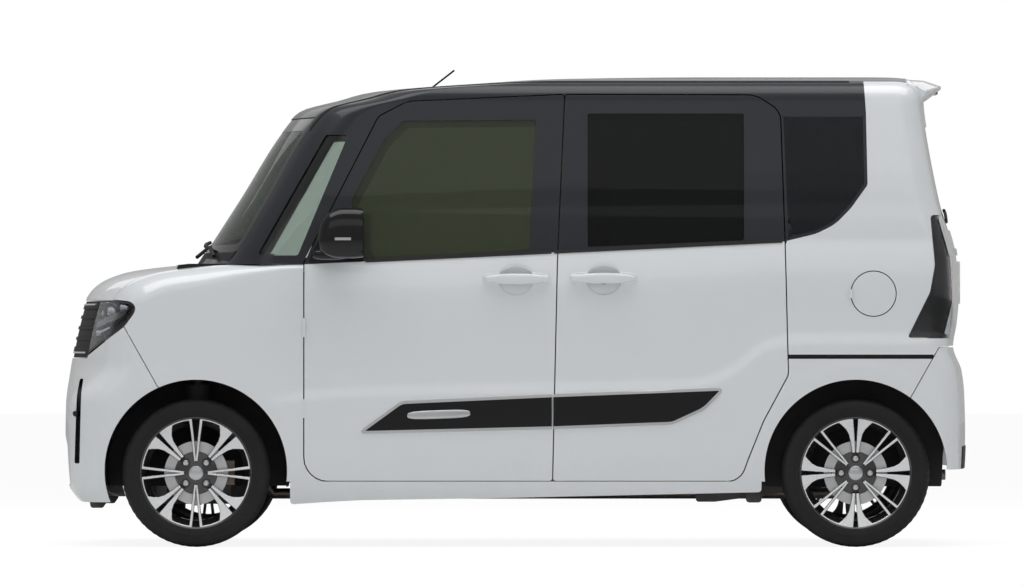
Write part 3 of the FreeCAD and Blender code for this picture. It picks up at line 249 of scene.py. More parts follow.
def nose_surface():
    """The nose and its sides, the rounded shoulders and the top, as rows of points. The height and the outline
    of a row of the wall depend on each other, so they are worked out in turn until they agree."""
    wall_rows, round_rows, top_rows = 64, 12, 24
    rows = []
    level = np.full(sum(NOSE_POINTS) + SIDE_COLUMNS + sum(TAIL_POINTS), 0.5)
    for index in range(wall_rows + 1):
        for _ in range(14):
            x, y, lean = nose_plan(level)
            level = BOTTOM + index / wall_rows * (wall_top(x, y, lean) - BOTTOM)
        rows.append((x, y, level, lean))
    x0, lean = rows[-1][0], rows[-1][3]
    reach, down = shoulder_size(x0)
    surface = [sculpt(x, y, z, lean, False) for x, y, z, lean in rows]
    x0, y0, _ = surface[-1]
    for index in range(1, round_rows + 1):
        turn = index / round_rows * math.pi / 2
        y = y0 - reach * lean**2 * (1 - math.cos(turn))
        z = crowned(x0, y) - down * lean**2 * (1 - math.sin(turn))
        surface.append((x0, y, z))
    x1, y1, _ = surface[-1]
    for index in range(1, top_rows + 1):
        y = y1 * (1 - index / top_rows)
        surface.append((x1, y, crowned(x1, y)))
    return [np.array(column) for column in zip(*surface)]


def crowned(x, y):
    """Height of the bonnet and the wings' tops, from the distance behind the bowed front edge."""
    bow = NOSE_BOW - np.sqrt(NOSE_BOW**2 - np.clip(y, -HALF, HALF) ** 2)
    return eased(BONNET_LINE, NOSE - x - bow)[0] - 0.006 * (y / HALF) ** 2


def shoulder_size(x):
    """How far the wing's shoulder rounds in, and how far down."""
    share = ramp(x, HINGE_X + 0.02, HINGE_X + 0.42)
    return 0.030 + 0.085 * share, 0.020 + 0.050 * share


def wall_top(x, y, lean):
    """Where the upright wall ends and the shoulder starts."""
    return crowned(x, y) - shoulder_size(x)[1] * lean**2


def nose_plan(level):
    """The nose's outline where each point has its own height."""
    narrow, back = eased(NOSE_WALL, level)
    x, y, lean = plan(HALF, ((NOSE, NOSE_BOW, 0.15, 1, *NOSE_POINTS), (REAR, *TAIL_END)))
    front = ramp(x, FRONT - 0.1, NOSE - 0.10)
    bow = NOSE_BOW - np.sqrt(NOSE_BOW**2 - np.clip(y, -0.62, 0.62) ** 2)
    full = 0.72 * ramp(0.680 - np.asarray(level), 0, 0.150)
    return x + (full * bow - back) * front, y - narrow * lean, lean


SURFACES = {"tall": tall_surface(), "nose": nose_surface()}


# ---- Meshes ----
MANY_FACES = 5000


def added(name, bm):
    """Makes a bmesh an object."""
    mesh = bpy.data.meshes.new(name)
    bm.to_mesh(mesh)
    bm.free()
    piece = bpy.data.objects.new(name, mesh)
    bpy.context.collection.objects.link(piece)
    return piece


def settle(piece):
    """Applies the modifiers."""
    graph = bpy.context.evaluated_depsgraph_get()
    mesh = bpy.data.meshes.new_from_object(piece.evaluated_get(graph))
    piece.modifiers.clear()
    piece.data = mesh
    return piece


def drop(*pieces):
    for piece in pieces:
        bpy.data.objects.remove(piece)


def held(mesh, keep):
    """True if the mesh lies inside every tool that it was to be kept by."""
    spots = np.empty(len(mesh.vertices) * 3)
    mesh.vertices.foreach_get("co", spots)
    spots = spots.reshape(-1, 3)
    for tool in keep:
        corners = np.array(tool.bound_box)
        if (spots.min(0) < corners.min(0) - 0.0005).any() or (spots.max(0) > corners.max(0) + 0.0005).any():
            return False
    return True


def carve(piece, keep=(), remove=()):
    """Cuts a closed piece with tools. The quick way comes first, and the next where it leaves nothing, or
    leaves something outside the tools. The slowest way is for pieces that cross themselves."""
    ways = [("EXACT", False), ("EXACT", True)]
    if len(piece.data.polygons) > MANY_FACES:
        ways.insert(1, ("MANIFOLD", False))
    for solver, crossing in ways:
        for operation, tools in (("INTERSECT", keep), ("DIFFERENCE", remove)):
            for tool in tools:
                cut = piece.modifiers.new("cut", "BOOLEAN")
                cut.operation = operation
                cut.object = tool
                cut.solver = solver
                cut.use_self = crossing
        graph = bpy.context.evaluated_depsgraph_get()
        mesh = bpy.data.meshes.new_from_object(piece.evaluated_get(graph))
        piece.modifiers.clear()
        if len(mesh.polygons) > 8 and held(mesh, keep):
            break
    piece.data = mesh
    drop(*keep, *remove)
    return piece


def smooth(piece, angle=32):
    """Smooth shading, with edges past the angle kept sharp."""
    piece.data.shade_smooth()
    piece.data.set_sharp_from_angle(angle=math.radians(angle))
    return piece


def rounded_face(bm, rows, place, segments=6):
    """A flat face. Columns of rows: two coordinates and the corner's radius."""
    verts = [bm.verts.new(place(row[0], row[1])) for row in rows]
    bm.faces.new(verts)
    for index, row in enumerate(rows):
        if row[2] > 0:
            before = verts[index - 1].co if verts[index - 1].is_valid else place(*rows[index - 1][:2])
            after = rows[(index + 1) % len(rows)]
            half = (before - verts[index].co).angle(place(*after[:2]) - verts[index].co) / 2
            bmesh.ops.bevel(bm, geom=[verts[index]], offset=row[2] / math.tan(half), offset_type="OFFSET",
                            segments=segments, profile=0.5, affect="VERTICES", material=-1)
    return bm.faces[:]


def pushed(bm, faces, by):
    """Extrudes faces and moves the new side by a vector."""
    made = bmesh.ops.extrude_face_region(bm, geom=faces)
    verts = [item for item in made["geom"] if isinstance(item, bmesh.types.BMVert)]
    bmesh.ops.translate(bm, verts=verts, vec=by)
    bmesh.ops.recalc_face_normals(bm, faces=bm.faces[:])
    return verts


def side_tool(rows, y0=TOOL_Y, y1=1.2, grow=0.0):
    """An outline of x and z as a bar along Y."""
    bm = bmesh.new()
    rounded_face(bm, rows, lambda a, b: Vector((a, y0, b)))
    if grow:
        widen(bm, grow)
    pushed(bm, bm.faces[:], Vector((0, y1 - y0, 0)))
    return added("tool", bm)


def widen(bm, grow):
    """Moves a flat outline's edge out by grow, or in where grow is negative."""
    bm.faces.ensure_lookup_table()
    face = bm.faces[0]
    loops = [loop.vert for loop in face.loops]
    face.normal_update()
    normal = face.normal
    moves = []
    for index, vert in enumerate(loops):
        before = (vert.co - loops[index - 1].co).normalized()
        after = (loops[(index + 1) % len(loops)].co - vert.co).normalized()
        outs = [before.cross(normal), after.cross(normal)]
        middle = (outs[0] + outs[1]).normalized()
        moves.append(middle * (grow / max(0.35, middle.dot(outs[0]))))
    for vert, move in zip(loops, moves):
        vert.co += move


def front_tool(rows, x0, x1):
    """An outline of y and z as a bar along X."""
    bm = bmesh.new()
    rounded_face(bm, rows, lambda a, b: Vector((x0, a, b)))
    pushed(bm, bm.faces[:], Vector((x1 - x0, 0, 0)))
    return added("tool", bm)


def block(x0, x1, y0, y1, z0, z1):
    """A box as a cutting tool."""
    bm = bmesh.new()
    bmesh.ops.create_cube(bm, size=1)
    bmesh.ops.scale(bm, vec=(x1 - x0, y1 - y0, z1 - z0), verts=bm.verts[:])
    bmesh.ops.translate(bm, vec=((x0 + x1) / 2, (y0 + y1) / 2, (z0 + z1) / 2), verts=bm.verts[:])
    return added("tool", bm)


def barrel(x, z, radius, y0, y1, name="tool", segments=64):
    """A round bar along Y."""
    bm = bmesh.new()
    bmesh.ops.create_cone(bm, cap_ends=True, segments=segments, radius1=radius, radius2=radius, depth=y1 - y0)
    bmesh.ops.rotate(bm, matrix=Matrix.Rotation(math.pi / 2, 3, "X"), verts=bm.verts[:])
    bmesh.ops.translate(bm, vec=(x, (y0 + y1) / 2, z), verts=bm.verts[:])
    return added(name, bm)


def skin(name, surface, low, high, inset=0.0, thick=0.026):
    """The part of a surface inside a box, as a closed shell. inset moves it in from the outer surface."""
    x, y, z = SURFACES[surface]
    margin = 0.03
    inside = ((x > low[0] - margin) & (x < high[0] + margin) & (y > low[1] - margin) & (y < high[1] + margin)
              & (z > low[2] - margin) & (z < high[2] + margin))
    down = np.nonzero(inside.any(1))[0]
    along = np.nonzero(inside.any(0))[0]
    patch = (slice(max(down[0] - 1, 0), down[-1] + 2), slice(max(along[0] - 1, 0), along[-1] + 2))
    x, y, z = x[patch], y[patch], z[patch]
    bm = bmesh.new()
    bmesh.ops.create_grid(bm, x_segments=x.shape[1] - 1, y_segments=x.shape[0] - 1, size=0.5)
    for vert in bm.verts:
        column = round((vert.co.x + 0.5) * (x.shape[1] - 1))
        row = round((vert.co.y + 0.5) * (x.shape[0] - 1))
        vert.co = (x[row, column], y[row, column], z[row, column])
    bmesh.ops.remove_doubles(bm, verts=bm.verts[:], dist=0.0002)
    bmesh.ops.recalc_face_normals(bm, faces=bm.faces[:])
    middle = Vector((0, 0, 0.8))
    outward = sum(face.normal.dot(face.calc_center_median() - middle) * face.calc_area() for face in bm.faces)
    if outward < 0:
        bmesh.ops.reverse_faces(bm, faces=bm.faces[:])
    bm.normal_update()
    edge = {vert for vert in bm.verts if abs(vert.co.y) < 1e-5}
    moves = [(vert, vert.normal.copy()) for vert in bm.verts]
    if inset:
        for vert, normal in moves:
            if vert in edge:
                normal.y = 0
            vert.co -= normal * inset
    piece = added(name, bm)
    shell = piece.modifiers.new("shell", "SOLIDIFY")
    shell.thickness = thick
    shell.offset = -1
    shell.use_even_offset = False
    settle(piece)
    for vert in piece.data.vertices:
        if abs(vert.co.y) < 0.004:
            vert.co.y = 0
    return piece


def whole(piece):
    """Joins a half, whose open side is at the middle, to its mirror image."""
    bm = bmesh.new()
    bm.from_mesh(piece.data)
    cut = [face for face in bm.faces if all(abs(vert.co.y) < 2e-4 for vert in face.verts)]
    bmesh.ops.delete(bm, geom=cut, context="FACES")
    bmesh.ops.mirror(bm, geom=bm.verts[:] + bm.edges[:] + bm.faces[:], axis="Y", merge_dist=0.0004)
    bmesh.ops.remove_doubles(bm, verts=bm.verts[:], dist=0.00005)
    bmesh.ops.recalc_face_normals(bm, faces=bm.faces[:])
    bm.to_mesh(piece.data)
    bm.free()
    return piece


def mirrored(piece, name):
    """The same piece on the car's right."""
    bm = bmesh.new()
    bm.from_mesh(piece.data)
    bmesh.ops.scale(bm, vec=(1, -1, 1), verts=bm.verts[:])
    bmesh.ops.reverse_faces(bm, faces=bm.faces[:])
    twin = added(name, bm)
    for material in piece.data.materials:
        twin.data.materials.append(material)
    return twin


def joined(name, pieces):
    """Several pieces as one object. Their materials stay."""
    bm = bmesh.new()
    slots = []
    for piece in pieces:
        first = len(bm.faces)
        mapping = []
        for material in piece.data.materials:
            if material not in slots:
                slots.append(material)
            mapping.append(slots.index(material))
        bm.from_mesh(piece.data)
        bm.faces.ensure_lookup_table()
        for index in range(first, len(bm.faces)):
            face = bm.faces[index]
            if mapping:
                face.material_index = mapping[min(face.material_index, len(mapping) - 1)]
    drop(*pieces)
    result = added(name, bm)
    for material in slots:
        result.data.materials.append(material)
    return result


def both(piece, name):
    """A left piece and its mirror image as one object."""
    piece.name = "half"
    return joined(name, [piece, mirrored(piece, "twin")])


# ---- Outlines of the left side. Columns: x, z, corner radius ----
FRONT_DOOR = [
    (HINGE_X, 0.248, 0.085),
    (SPLIT + 0.004, 0.248, 0.008),
    (SPLIT - 0.014, SHOULDER + 0.060, 0),
    (SPLIT - 0.041, DOOR_TOP, 0.010),
    (FRONT - 0.785, DOOR_TOP - 0.026, 0.100),
    (FRONT - 0.680, GLASS_TOP + 0.008, 0.040),
    (HINGE_X, SHOULDER + 0.058, 0),
]
SLIDING_DOOR = [
    (SPLIT - 0.004, 0.248, 0.008),
    (SLIDE_REAR + 0.170, 0.248, 0.060),
    (SLIDE_REAR + 0.140, 0.330, 0.080),
    (SLIDE_REAR + 0.084, 0.470, 0.120),
    (SLIDE_REAR - 0.008, 0.640, 0.030),
    (SLIDE_REAR + 0.004, SHOULDER + 0.136, 0),
    (SLIDE_REAR + 0.020, DOOR_TOP - 0.060, 0.060),
    (SLIDE_REAR + 0.110, DOOR_TOP - 0.002, 0.090),
    (SPLIT - 0.049, DOOR_TOP, 0.010),
    (SPLIT - 0.022, SHOULDER + 0.060, 0),
]
FRONT_WINDOW = [
    (FRONT - 0.573, SHOULDER + 0.279, 0.060),
    (FRONT - 0.630, SHOULDER + 0.062, 0.008),
    (SPLIT + 0.086, SHOULDER + 0.103, 0.008),
    (SPLIT + 0.060, GLASS_TOP - 0.002, 0.012),
    (FRONT - 0.768, GLASS_TOP - 0.006, 0.020),
    (FRONT - 0.694, GLASS_TOP - 0.084, 0.030),
]
SLIDING_WINDOW = [
    (SPLIT - 0.130, SHOULDER + 0.115, 0.008),
    (SPLIT - 0.130, GLASS_TOP + 0.021, 0.008),
    (SLIDE_REAR + 0.152, GLASS_TOP + 0.021, 0.008),
    (SLIDE_REAR + 0.152, SHOULDER + 0.139, 0.008),
]
FRONT_QUARTER = [
    (FRONT - 0.226, SHOULDER + 0.083, 0.012),
    (FRONT - 0.378, SHOULDER + 0.083, 0.012),
    (FRONT - 0.565, GLASS_TOP - 0.058, 0.012),
    (FRONT - 0.481, GLASS_TOP - 0.058, 0.012),
]
REAR_QUARTER = [
    (REAR + 0.2605, 1.136, 0.004),
    (REAR + 0.1465, 1.1635, 0.150),
    (REAR + 0.0765, 1.198, 0.150),
    (REAR + 0.0175, 1.258, 0.150),
    (REAR - 0.0450, 1.345, 0.020),
    (REAR - 0.0400, 1.612, 0.006),
    (REAR + 0.2800, 1.612, 0.004),
]
DARK_SIDE = [
    (NOSE, 1.0505, 0),
    (SLIDE_REAR + 0.030, 1.0505, 0),
    (SLIDE_REAR - 0.008, 1.137, 0),
    (REAR + 0.2605, 1.136, 0),
    (REAR + 0.1465, 1.1635, 0.150),
    (REAR + 0.0765, 1.198, 0.150),
    (REAR + 0.0175, 1.258, 0.150),
    (REAR - 0.0450, 1.345, 0.020),
    (REAR - 0.0400, 1.612, 0),
    (REAR - 0.0300, 1.770, 0),
    (REAR - 0.0260, 1.900, 0),
    (NOSE, 1.900, 0),
]
HEADLAMP = [
    (NOSE - 0.200, 0.917, 0.020),
    (NOSE - 0.276, 0.909, 0.030),
    (NOSE - 0.288, 0.880, 0.035),
    (NOSE - 0.245, 0.822, 0.060),
    (NOSE - 0.097, 0.716, 0.010),
    (NOSE + 0.080, 0.710, 0),
    (NOSE + 0.080, 0.917, 0),
]
FRONT_BUMPER = [
    (NOSE - 0.244, 0.817, 0),
    (NOSE - 0.097, 0.708, 0.010),
    (NOSE + 0.080, 0.702, 0),
    (NOSE + 0.080, 0.060, 0),
    (FRONT + 0.100, 0.060, 0),
    (FRONT + 0.100, 0.560, 0),
    (FRONT + 0.143, 0.596, 0),
]
REAR_BUMPER = [
    (TAIL - 0.080, 0.741, 0),
    (TAIL + 0.122, 0.741, 0.010),
    (TAIL + 0.140, 0.710, 0.030),
    (TAIL + 0.228, 0.555, 0),
    (TAIL + 0.228, 0.060, 0),
    (TAIL - 0.080, 0.060, 0),
]
TAIL_LAMP = [
    (TAIL + 0.153, 1.232, 0.012),
    (TAIL + 0.137, 1.048, 0.060),
    (TAIL + 0.155, 0.947, 0.060),
    (TAIL + 0.239, 0.777, 0.008),
    (TAIL - 0.080, 0.777, 0),
    (TAIL - 0.080, 1.232, 0),
]
BELT_LINE = [
    (NOSE, belt(NOSE), 0),
    (HINGE_X, belt(HINGE_X), 0),
    (HINGE_X - 1.8, belt(HINGE_X - 1.8), 0),
    (TAIL, belt(TAIL), 0),
    (TAIL, 2.0, 0),
    (NOSE, 2.0, 0),
]
SCREEN = [(-0.636, 1.094, 0.030), (0.636, 1.094, 0.030), (0.562, 1.600, 0.030), (-0.562, 1.600, 0.030)]
GATE_WINDOW = [(-0.5375, 1.180, 0.045), (0.5375, 1.180, 0.045), (0.5075, 1.572, 0.045), (-0.5075, 1.572, 0.045)]
# How far a door's own edge, and the opening round it, stand outside the outline.
EDGE = 0.0018
OPENING = 0.0062


# ---- Panels and their tools ----
def arch_tools():
    """The round openings over the wheels."""
    return [barrel(axle, ARCH_Z, ARCH_R, 0.2, 1.2, segments=128) for axle in (FRONT, REAR)]


def openings(outlines=(FRONT_DOOR, SLIDING_DOOR)):
    """What the doors leave open in the panels round them."""
    tools = []
    for outline in outlines:
        arch = barrel(REAR, ARCH_Z, ARCH_R + 0.0306, 0.2, 1.3, segments=96)
        tools.append(carve(side_tool(outline, grow=OPENING), [], [arch]))
    return tools


def panel(name, surface, low, high, keep=(), remove=(), inset=0.0, thick=0.024):
    """A shell of the surface between two corners, cut to the tools."""
    return carve(skin(name, surface, low, high, inset, thick), keep, remove)


HANDLES = {"front": SPLIT + 0.136, "sliding": SPLIT - 0.190}
HANDLE_Z = SHOULDER - 0.008


def cup_tool(x):
    """The rounded hollow behind a handle."""
    bm = bmesh.new()
    bmesh.ops.create_uvsphere(bm, u_segments=48, v_segments=24, radius=1)
    bmesh.ops.scale(bm, vec=(0.066, 0.030, 0.057), verts=bm.verts[:])
    bmesh.ops.translate(bm, vec=(x, HALF - 0.004, HANDLE_Z), verts=bm.verts[:])
    return added("tool", bm)


def door(name, outline, window, x0, x1, handle_x):
    """A door's white panel and its dark window frame."""
    arch = barrel(REAR, ARCH_Z, ARCH_R + 0.035, 0.2, 1.2, segments=96)
    lower = panel(name + "_panel", "tall", (x0, 0.5, 0.2), (x1, 1, 1.2), [side_tool(outline, grow=EDGE)],
                  [side_tool(BELT_LINE), cup_tool(handle_x), arch])
    upper = panel(name + "_frame", "tall", (x0, 0.5, 1.0), (x1, 1, 1.75),
                   [side_tool(outline, grow=EDGE), side_tool(BELT_LINE)],
                   [side_tool(window)], inset=0.0015, thick=0.030)
    pane = panel(name + "_pane", "tall", (x0, 0.5, 1.0), (x1, 1, 1.75),
                 [side_tool(window, grow=0.012)], inset=0.0055, thick=0.004)
    return lower, upper, pane


# ---- Shader groups ----
def effect(name, inputs, outputs):
    """A node group with Object coordinates. Inputs: label, default value."""
    group = bpy.data.node_groups.new(name, "ShaderNodeTree")
    for label, value in inputs:
        group.interface.new_socket(label, in_out="INPUT", socket_type="NodeSocketFloat").default_value = value
    for label, kind in outputs:
        group.interface.new_socket(label, in_out="OUTPUT", socket_type="NodeSocket" + kind)
    nodes = group.nodes
    return group, nodes.new("NodeGroupInput"), nodes.new("NodeGroupOutput"), nodes.new("ShaderNodeTexCoord")


def math_node(tree, operation, *values):
    """A Math node's output. Each value is a number or a socket."""
    node = tree.nodes.new("ShaderNodeMath")
    node.operation = operation
    for index, value in enumerate(values):
        if isinstance(value, (int, float)):
            node.inputs[index].default_value = value
        else:
            tree.links.new(value, node.inputs[index])
    return node.outputs[0]


def texture(tree, kind, where, **values):
    """A texture node. Labels with an underscore stand for a space."""
    node = tree.nodes.new("ShaderNodeTex" + kind)
    tree.links.new(where, node.inputs["Vector"])
    for label, value in values.items():
        socket = node.inputs[label.replace("_", " ")]
        if isinstance(value, (int, float)):
            socket.default_value = value
        else:
            tree.links.new(value, socket)
    return node


def grain_group():
    """Moulded grain and soft dirt: a height for the bump and a mask for the roughness."""
    group, source, result, place = effect("moulded_grain", [("Scale", 900), ("Depth", 0.2), ("Patches", 4)],
                                          [("Normal", "Vector"), ("Mask", "Float")])
    cells = texture(group, "Voronoi", place.outputs["Object"], Scale=source.outputs["Scale"])
    patches = texture(group, "Noise", place.outputs["Object"], Scale=source.outputs["Patches"], Detail=4,
                      Roughness=0.6)
    bump = group.nodes.new("ShaderNodeBump")
    bump.inputs["Distance"].default_value = 0.0004
    group.links.new(source.outputs["Depth"], bump.inputs["Strength"])
    group.links.new(cells.outputs["Distance"], bump.inputs["Height"])
    group.links.new(bump.outputs["Normal"], result.inputs["Normal"])
    group.links.new(patches.outputs["Fac"], result.inputs["Mask"])
    return group


def paint_group():
    """Pearl flakes and the slight waviness of sprayed paint."""
    group, source, result, place = effect("sprayed_paint",
                                          [("Flakes", 1800), ("Waves", 160), ("Depth", 0.012)],
                                          [("Normal", "Vector"), ("Sparkle", "Float"), ("Mask", "Float")])
    flakes = texture(group, "Voronoi", place.outputs["Object"], Scale=source.outputs["Flakes"])
    waves = texture(group, "Noise", place.outputs["Object"], Scale=source.outputs["Waves"], Detail=1)
    soft = texture(group, "Noise", place.outputs["Object"], Scale=1.7, Detail=2)
    bump = group.nodes.new("ShaderNodeBump")
    bump.inputs["Distance"].default_value = 0.0006
    group.links.new(source.outputs["Depth"], bump.inputs["Strength"])
    group.links.new(waves.outputs["Fac"], bump.inputs["Height"])
    split = group.nodes.new("ShaderNodeSeparateColor")
    group.links.new(flakes.outputs["Color"], split.inputs[0])
    group.links.new(split.outputs[0], result.inputs["Sparkle"])
    group.links.new(soft.outputs["Fac"], result.inputs["Mask"])
    group.links.new(bump.outputs["Normal"], result.inputs["Normal"])
    return group


def road_dust_group():
    """Dust that lies low on the body and in patches: 0 clean, 1 dusty."""
    group, source, result, place = effect("road_dust", [("Top", 0.45), ("Amount", 0.2)], [("Mask", "Float")])
    split = group.nodes.new("ShaderNodeSeparateXYZ")
    group.links.new(place.outputs["Object"], split.inputs[0])
    height = math_node(group, "DIVIDE", split.outputs["Z"], source.outputs["Top"])
    low = math_node(group, "SUBTRACT", 1, height)
    cloud = texture(group, "Noise", place.outputs["Object"], Scale=9, Detail=6, Roughness=0.65)
    mask = math_node(group, "MULTIPLY", math_node(group, "MAXIMUM", low, 0), cloud.outputs["Fac"])
    out = math_node(group, "MULTIPLY", mask, source.outputs["Amount"])
    out.node.use_clamp = True
    group.links.new(out, result.inputs["Mask"])
    return group


def weave_group():
    """Threads that cross, for the seats."""
    group, source, result, place = effect("seat_weave", [("Scale", 420), ("Depth", 0.5)],
                                          [("Normal", "Vector"), ("Thread", "Float"), ("Mask", "Float")])
    waves = []
    for direction in ("X", "Y", "Z"):
        wave = texture(group, "Wave", place.outputs["Object"], Scale=source.outputs["Scale"], Distortion=0.6)
        wave.bands_direction = direction
        waves.append(wave.outputs["Fac"])
    crossed = math_node(group, "MULTIPLY", math_node(group, "ADD", waves[0], waves[2]), waves[1])
    melange = texture(group, "Noise", place.outputs["Object"], Scale=260, Detail=2)
    bump = group.nodes.new("ShaderNodeBump")
    bump.inputs["Distance"].default_value = 0.0007
    group.links.new(source.outputs["Depth"], bump.inputs["Strength"])
    group.links.new(crossed, bump.inputs["Height"])
    group.links.new(bump.outputs["Normal"], result.inputs["Normal"])
    group.links.new(crossed, result.inputs["Thread"])
    group.links.new(melange.outputs["Fac"], result.inputs["Mask"])
    return group


# ---- Materials ----
GROUPS = {"grain": grain_group(), "paint": paint_group(), "dust": road_dust_group(), "weave": weave_group()}
DUST = (0.30, 0.28, 0.25, 1)
MATERIALS = {}


def start(name, colour, roughness, **values):
    """A material with plain values on its shader's sockets."""
    material = bpy.data.materials.new(name)
    material.use_nodes = True
    tree = material.node_tree
    shader = tree.nodes["Principled BSDF"]
    shader.inputs["Base Color"].default_value = (*colour, 1)
    shader.inputs["Roughness"].default_value = roughness
    for label, value in values.items():
        shader.inputs[label.replace("_", " ")].default_value = value
    MATERIALS[name] = material
    return tree, shader


def use(tree, kind, **values):
    """Places a shader group in a material, with its own values."""
    node = tree.nodes.new("ShaderNodeGroup")
    node.node_tree = GROUPS[kind]
    for label, value in values.items():
        node.inputs[label].default_value = value
    return node


def spread(tree, mask, low, high, socket):
    """Drives a socket between two values by a mask."""
    span = tree.nodes.new("ShaderNodeMapRange")
    span.inputs["From Min"].default_value = 0.3
    span.inputs["From Max"].default_value = 0.7
    span.inputs["To Min"].default_value = low
    span.inputs["To Max"].default_value = high
    tree.links.new(mask, span.inputs["Value"])
    tree.links.new(span.outputs[0], socket)


def blend_colours(tree, mask, first, second, socket=None):
    """Mixes two colours, or sockets, by a mask, and feeds the socket if there is one."""
    mix = tree.nodes.new("ShaderNodeMix")
    mix.data_type = "RGBA"
    tree.links.new(mask, mix.inputs["Factor"])
    for number, value in ((6, first), (7, second)):
        if isinstance(value, tuple):
            mix.inputs[number].default_value = value
        else:
            tree.links.new(value, mix.inputs[number])
    if socket is not None:
        tree.links.new(mix.outputs[2], socket)
    return mix.outputs[2]


def paint(name, colour, other, rough, dust=0.25, coat=1.0, **values):
    """Sprayed paint. other is the flakes' colour, and rough the least and the greatest roughness."""
    tree, shader = start(name, colour, rough[0], Coat_Weight=coat, Coat_Roughness=0.03, **values)
    spray = use(tree, "paint")
    powder = use(tree, "dust", Amount=dust)
    sparkled = blend_colours(tree, spray.outputs["Sparkle"], (*colour, 1), (*other, 1))
    blend_colours(tree, powder.outputs["Mask"], sparkled, DUST, shader.inputs["Base Color"])
    spread(tree, spray.outputs["Mask"], *rough, shader.inputs["Roughness"])
    tree.links.new(spray.outputs["Normal"], shader.inputs["Normal"])


def moulded(name, colour, rough, depth=0.2, scale=900, dust=0.0, other=None, **values):
    """Plastic, rubber or metal with a moulded or cast grain."""
    tree, shader = start(name, colour, rough[0], **values)
    grain = use(tree, "grain", Depth=depth, Scale=scale)
    tint = other or tuple(channel * 1.25 for channel in colour)
    shade = blend_colours(tree, grain.outputs["Mask"], (*colour, 1), (*tint, 1), shader.inputs["Base Color"])
    if dust:
        powder = use(tree, "dust", Amount=dust, Top=0.7)
        blend_colours(tree, powder.outputs["Mask"], shade, DUST, shader.inputs["Base Color"])
    spread(tree, grain.outputs["Mask"], *rough, shader.inputs["Roughness"])
    tree.links.new(grain.outputs["Normal"], shader.inputs["Normal"])


def glass(name, colour, ior, clear=1.0):
    """Glass or a clear lens, with faint smears. clear below 1 leaves some of the glass's own colour."""
    tree, shader = start(name, colour, 0.0, Transmission_Weight=clear, IOR=ior)
    spray = use(tree, "paint", Waves=2.5, Depth=0.02)
    darker = (*[channel * 0.97 for channel in colour], 1)
    blend_colours(tree, spray.outputs["Mask"], (*colour, 1), darker, shader.inputs["Base Color"])
    spread(tree, spray.outputs["Mask"], 0.0, 0.02, shader.inputs["Roughness"])


def fabric(name, colour, other):
    """Woven seat cloth of two tones."""
    tree, shader = start(name, colour, 0.85, Sheen_Weight=0.35, Sheen_Roughness=0.5)
    weave = use(tree, "weave")
    shade = blend_colours(tree, weave.outputs["Mask"], (*colour, 1), (*other, 1))
    threads = (*[channel * 0.6 for channel in colour], 1)
    blend_colours(tree, weave.outputs["Thread"], shade, threads, shader.inputs["Base Color"])
    tree.links.new(weave.outputs["Normal"], shader.inputs["Normal"])


paint("white_paint", (0.765, 0.80, 0.82), (0.81, 0.84, 0.86), (0.30, 0.36))
paint("black_paint", (0.008, 0.009, 0.012), (0.020, 0.023, 0.031), (0.30, 0.38), 0.02, 0.30,
      Specular_IOR_Level=0.35)
paint("gloss_black", (0.003, 0.003, 0.004), (0.005, 0.005, 0.006), (0.12, 0.18), 0.0, 0.15,
      Specular_IOR_Level=0.35)
moulded("black_plastic", (0.010, 0.010, 0.011), (0.55, 0.70), 0.25, 1100, 0.12, Specular_IOR_Level=0.3)
moulded("rubber_seal", (0.012, 0.012, 0.013), (0.55, 0.75), 0.1, 700)
moulded("dash_plastic", (0.050, 0.048, 0.046), (0.5, 0.65), 0.35, 1400)
moulded("door_trim", (0.20, 0.19, 0.175), (0.55, 0.7), 0.35, 1400)
moulded("headliner", (0.42, 0.41, 0.39), (0.85, 0.95), 0.5, 1900, Sheen_Weight=0.2)
moulded("chassis_black", (0.020, 0.020, 0.021), (0.5, 0.75), 0.3, 260, 0.5)
moulded("floor_paint", (0.055, 0.056, 0.058), (0.5, 0.7), 0.3, 200, 0.5)
moulded("steel", (0.52, 0.52, 0.53), (0.28, 0.42), 0.06, 1500, Metallic=1.0)
moulded("exhaust_steel", (0.34, 0.31, 0.28), (0.38, 0.60), 0.12, 500, 0.4, (0.40, 0.36, 0.33), Metallic=1.0)
moulded("cast_iron", (0.16, 0.15, 0.145), (0.5, 0.75), 0.5, 420, 0.4, (0.24, 0.16, 0.11), Metallic=0.7)
moulded("engine_alloy", (0.42, 0.42, 0.43), (0.42, 0.6), 0.4, 600, 0.2, Metallic=0.9)
moulded("wheel_alloy", (0.86, 0.87, 0.88), (0.24, 0.34), 0.03, 1800, Metallic=1.0)
moulded("wheel_black", (0.010, 0.010, 0.011), (0.22, 0.32), 0.03, 900, 0.15,
        Coat_Weight=0.8, Coat_Roughness=0.08)
moulded("tyre_rubber", (0.009, 0.009, 0.010), (0.66, 0.84), 0.25, 500, 0.06, Specular_IOR_Level=0.3)
moulded("chrome", (0.80, 0.81, 0.82), (0.05, 0.09), 0.01, 900, Metallic=1.0)
moulded("satin_silver", (0.50, 0.51, 0.52), (0.28, 0.36), 0.03, 1600, Metallic=1.0)
moulded("blank_plate", (0.70, 0.70, 0.68), (0.35, 0.5), 0.05, 500)
moulded("lamp_red", (0.30, 0.010, 0.012), (0.12, 0.2), 0.02, 300, Coat_Weight=1.0)
glass("clear_glass", (0.46, 0.52, 0.48), 1.40)
glass("screen_glass", (0.14, 0.165, 0.145), 1.12)
glass("dark_glass", (0.035, 0.042, 0.037), 1.25, clear=0.85)
glass("door_glass", (0.15, 0.175, 0.115), 1.30, clear=0.82)
glass("headlamp", (0.78, 0.80, 0.82), 1.20)
glass("tail_lamp", (0.86, 0.87, 0.88), 1.20)
